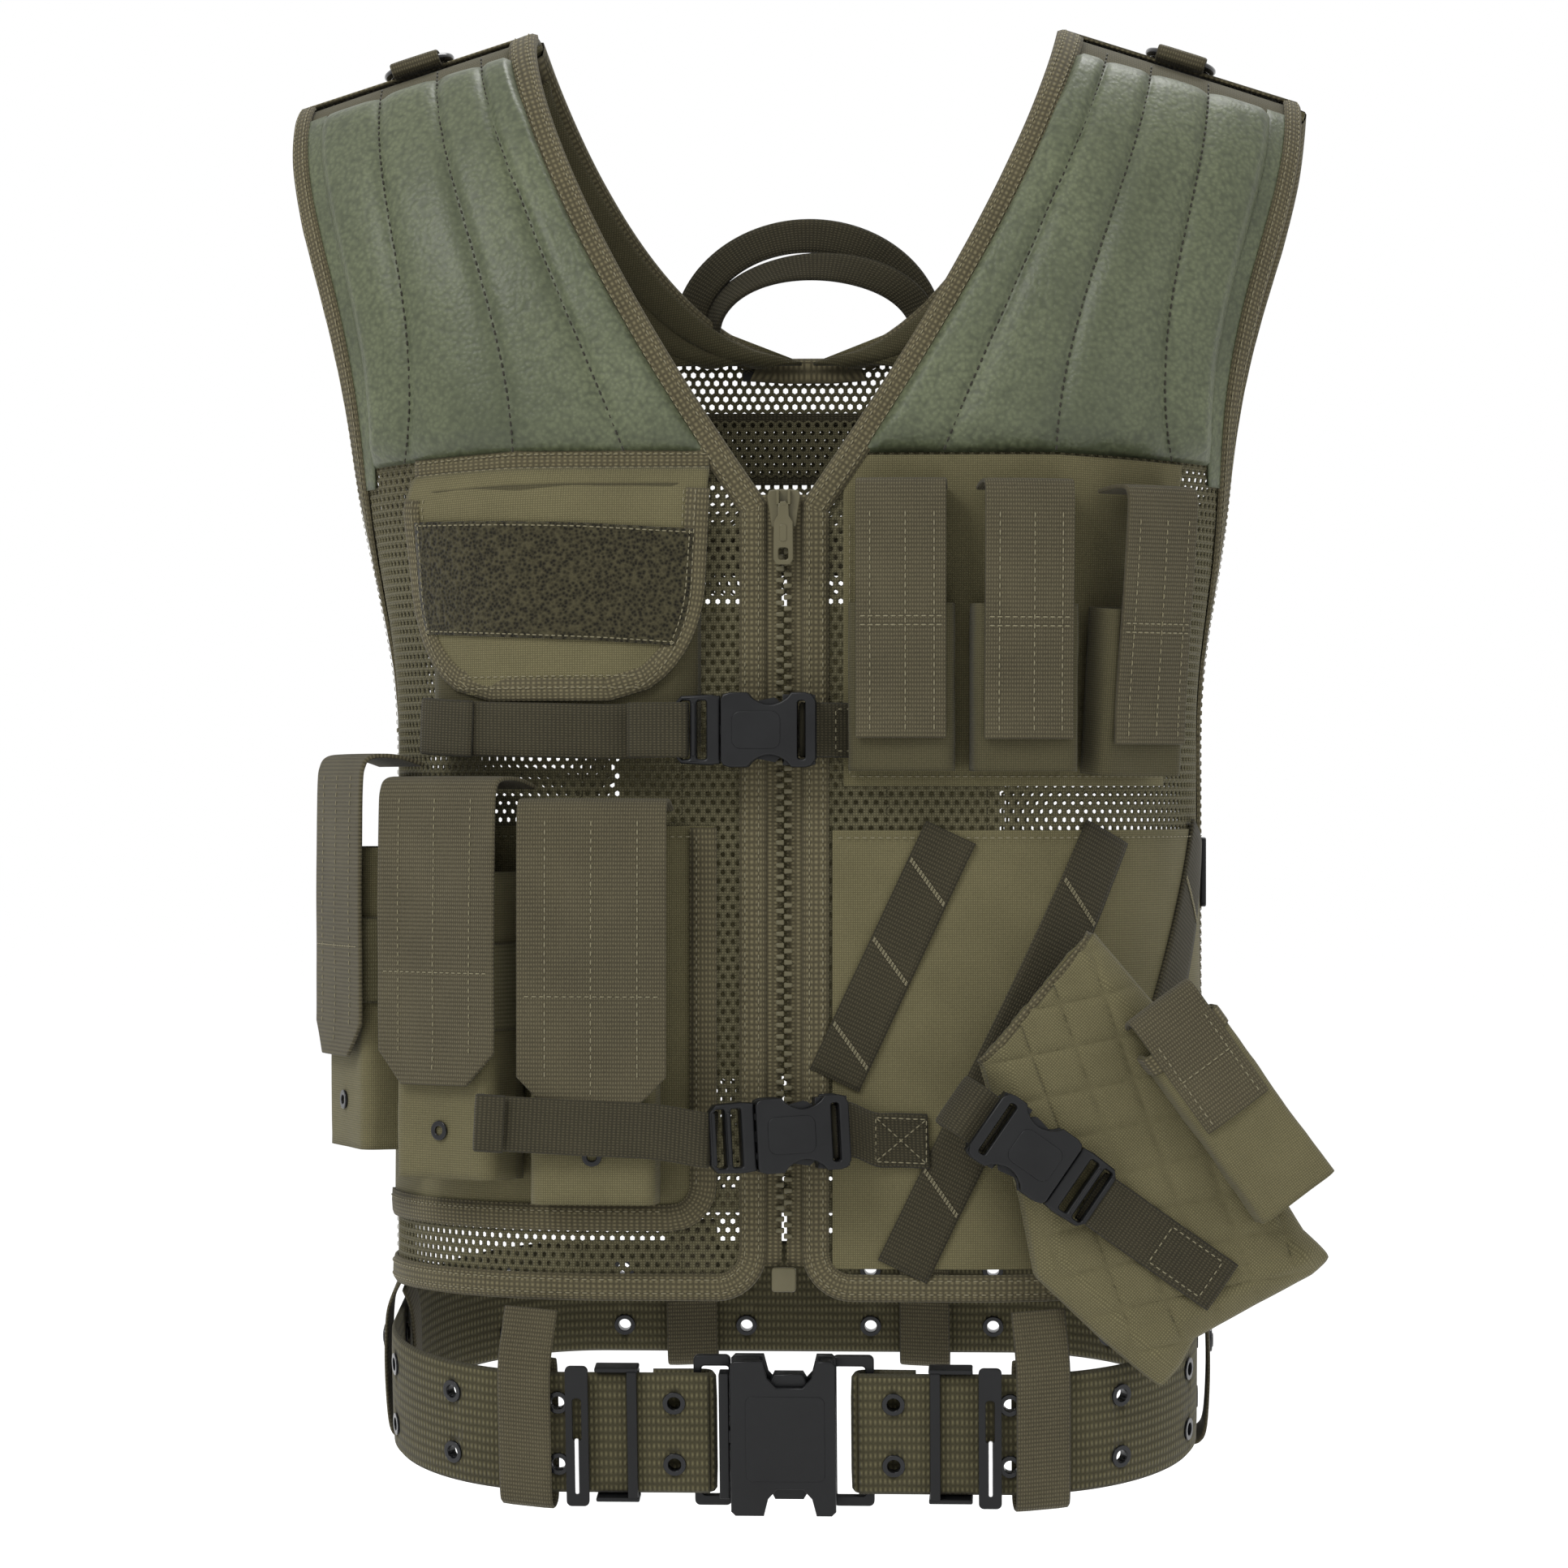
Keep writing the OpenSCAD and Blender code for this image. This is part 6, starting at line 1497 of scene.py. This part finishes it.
# webbing hangers with press studs
loops = {"front": [(7, 56), (1, 46), (-4, 37), (-6.6, 26), (-6.8, 0), (-6.2, -27), (-3.6, -33.4), (1.4, -34),
        (5.2, -28), (6.2, 0), (6, 26), (4.4, 34)], "side": [(0, 42), (-4, 34), (-6.6, 24), (-7.6, 0), (-6.4, -26),
        (-3.4, -33.6), (1.4, -34), (5.2, -27), (6.2, 0), (5.4, 26), (1.6, 38)],
        "back": [(2, 39), (-3, 34), (-6.4, 24), (-6.8, 0), (-6.2, -26), (-3.4, -33.4), (1.4, -34), (5.2, -27),
        (6.2, 0), (5.4, 26), (3, 36)]}
studs = []
for s, kind, face in ((117, "front", 1), (beltFlat + beltQuarter + beltSide / 2, "side", -1),
        (beltLong - 58, "back", -1)):
    for mirror in (False, True):
        place = beltPlace(s, mirror)
        name = "hanger" + kind.capitalize() + ("Left" if mirror else "Right")
        pathPoints = [tuple(place @ Vector((0, y, z))) for y, z in loops[kind]]
        strapPiece(name, pathPoints, tuple(place.to_3x3() @ Vector((1, 0, 0.04))), 1.9, 25, ribWebbing, steps=5,
                replaced=("belt_hangers",) if kind == "front" else ())
        for drop, radius, rise in ((0, 7.2, 1.2), (0.9, 5.6, 1.4), (1.7, 3.4, 0.9)):
            bpy.ops.object.select_all(action="DESELECT")
            bpy.ops.mesh.primitive_cylinder_add(vertices=40, radius=radius * 0.001, depth=rise * 0.001)
            disc = bpy.context.active_object
            useModifiers(disc, ("BEVEL", {"width": 0.0005, "segments": 3, "limit_method": "ANGLE"}))
            y = face * (7.2 if kind != "side" else 7.9) + face * drop
            disc.data.transform(inMetres(place @ Matrix.Translation((0, y, 12))) @ Matrix.Rotation(math.pi / 2, 4,
                    "X"))
            disc.data.polygons.foreach_set("use_smooth", [True] * len(disc.data.polygons))
            studs.append(disc)
snaps = joinPieces("hangerSnaps", studs)
fixNormals(snaps)
finishPiece(snaps, snapEnamel, "vest", ("hanger_snaps",))
print("hangers sewn")

# carry handle: folded webbing, one strand turned over the other
outerArc = [(-60 * math.cos(math.pi * k / 14), 96 - 2 * math.sin(math.pi * k / 14),
        -136 + 50 * math.sin(math.pi * k / 14)) for k in range(15)]
innerArc = [(-54 * math.cos(math.pi * k / 14) + 5, 92 - 5 * math.sin(math.pi * k / 14),
        -138 + 36 * math.sin(math.pi * k / 14) ** 0.9) for k in range(15)]
outerWide = [(-math.cos(math.pi * k / 14), 0.35 * math.cos(math.pi * k / 14),
        0.9 * math.sin(math.pi * k / 14) + 0.1) for k in range(15)]
innerWide = [(-0.6 * math.cos(math.pi * k / 14), 0.8 - 1.1 * k / 14,
        0.5 * math.sin(math.pi * k / 14)) for k in range(15)]
strapPiece("carryHandle", outerArc, outerWide, 3.4, 17, darkWebbing, replaced=("carry_handle",), steps=4)
strapPiece("carryHandleFold", innerArc, innerWide, 2.4, 16, darkWebbing, steps=4)
# neck label, left plain
label = block("neckLabel", Matrix.Translation((-13, 93.4, -153)), (39, 0.7, 11), (0, 0, 0), 0.2)
finishPiece(label, blackLabel, "vest")
# second layer of mesh across the inside of the neck
knitMesh("neckMeshBand", lambda s, t: abs(s) < 120 and 177 < t < 207, (-122, 122), (176, 208), -5.0, back=True)
for t in (177, 207):
    skinBand("neckMeshSeam%d" % t, (-122, t), (122, t), 6, -3.6, 1.2, darkWebbing, back=True)

# back: pocket, straps, side straps
clothSheet("backPocket", lambda u, v: (-95 + 190 * u, 270 + 235 * v), 60, 60, 0.8, 1.2, nylonCloth, back=True,
        bulge=lambda u, v, s, t: 4.4 * min(1, u * 9, (1 - u) * 9, v * 9, (1 - v) * 9) ** 0.5 + ripple(s, t, 141,
        40, 0.8), replaced=("back_pocket",))
for n, t in enumerate((235 + 12.5 - 5, 542)):
    skinBand("backStrap%d" % (n + 1), (-186, t), (186, t), 25, 2.6, 1.7, ribWebbing, back=True, count=70,
            replaced=("back_straps",) if n == 0 else ())
for mirror in (-1, 1):
    for n, t in enumerate((401, 515)):
        z = -t
        strapPiece("sideStrap%d%s" % (n + 1, "L" if mirror < 0 else "R"),
                [(mirror * 191.2, -14, z), (mirror * 191.6, -4, z), (mirror * 191.6, 6, z),
                (mirror * 191.2, 14, z)], (0, 0, 1), 1.6, 25, darkWebbing)
sliders = []
for mirror in (-1, 1):
    for t in (401, 515):
        place = Matrix.Translation((mirror * 193.6, 0, -t)) @ Matrix.Rotation(math.pi / 2, 4, "Z")
        sliders.append(flatShape("sideSlider", [roundRect(0, 0, 16, 33, 2.2), roundRect(-4, 0, 3.5, 26, 1),
                roundRect(4, 0, 3.5, 26, 1)], 2.8, 0.7, inMetres(place), blackAcetal))
finishPiece(joinPieces("sideSliders", sliders), blackAcetal, "vest", ("side_sliders",))

# floor
bpy.ops.object.select_all(action="DESELECT")
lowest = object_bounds()[0][2]
bpy.ops.mesh.primitive_plane_add(size=60, location=(0, 2, lowest - 0.16))
floor = bpy.context.active_object
floor.name = "paleFloor"
floorPaint, _, floorShader = startMaterial("paleStudioFloor", 1.0, ior=1.0)
floorShader.inputs["Base Color"].default_value = hexColour("#ffffff")
floor.data.materials.append(floorPaint)

fallback = {"buckle_plastic": blackAcetal, "zip_plastic": zipAcetal, "ring_plastic": glossRing,
        "black_metal": eyeletEnamel, "snap_metal": snapEnamel}
slots = {p["node"]: p["material_slot"] for p in frame["record"]["subparts"]}
for name, node in nodes.items():
    if not node.hide_render:
        node.data.materials.clear()
        node.data.materials.append(fallback.get(slots.get(name), blackAcetal))
        print("CAD solid still shown:", name, slots.get(name))
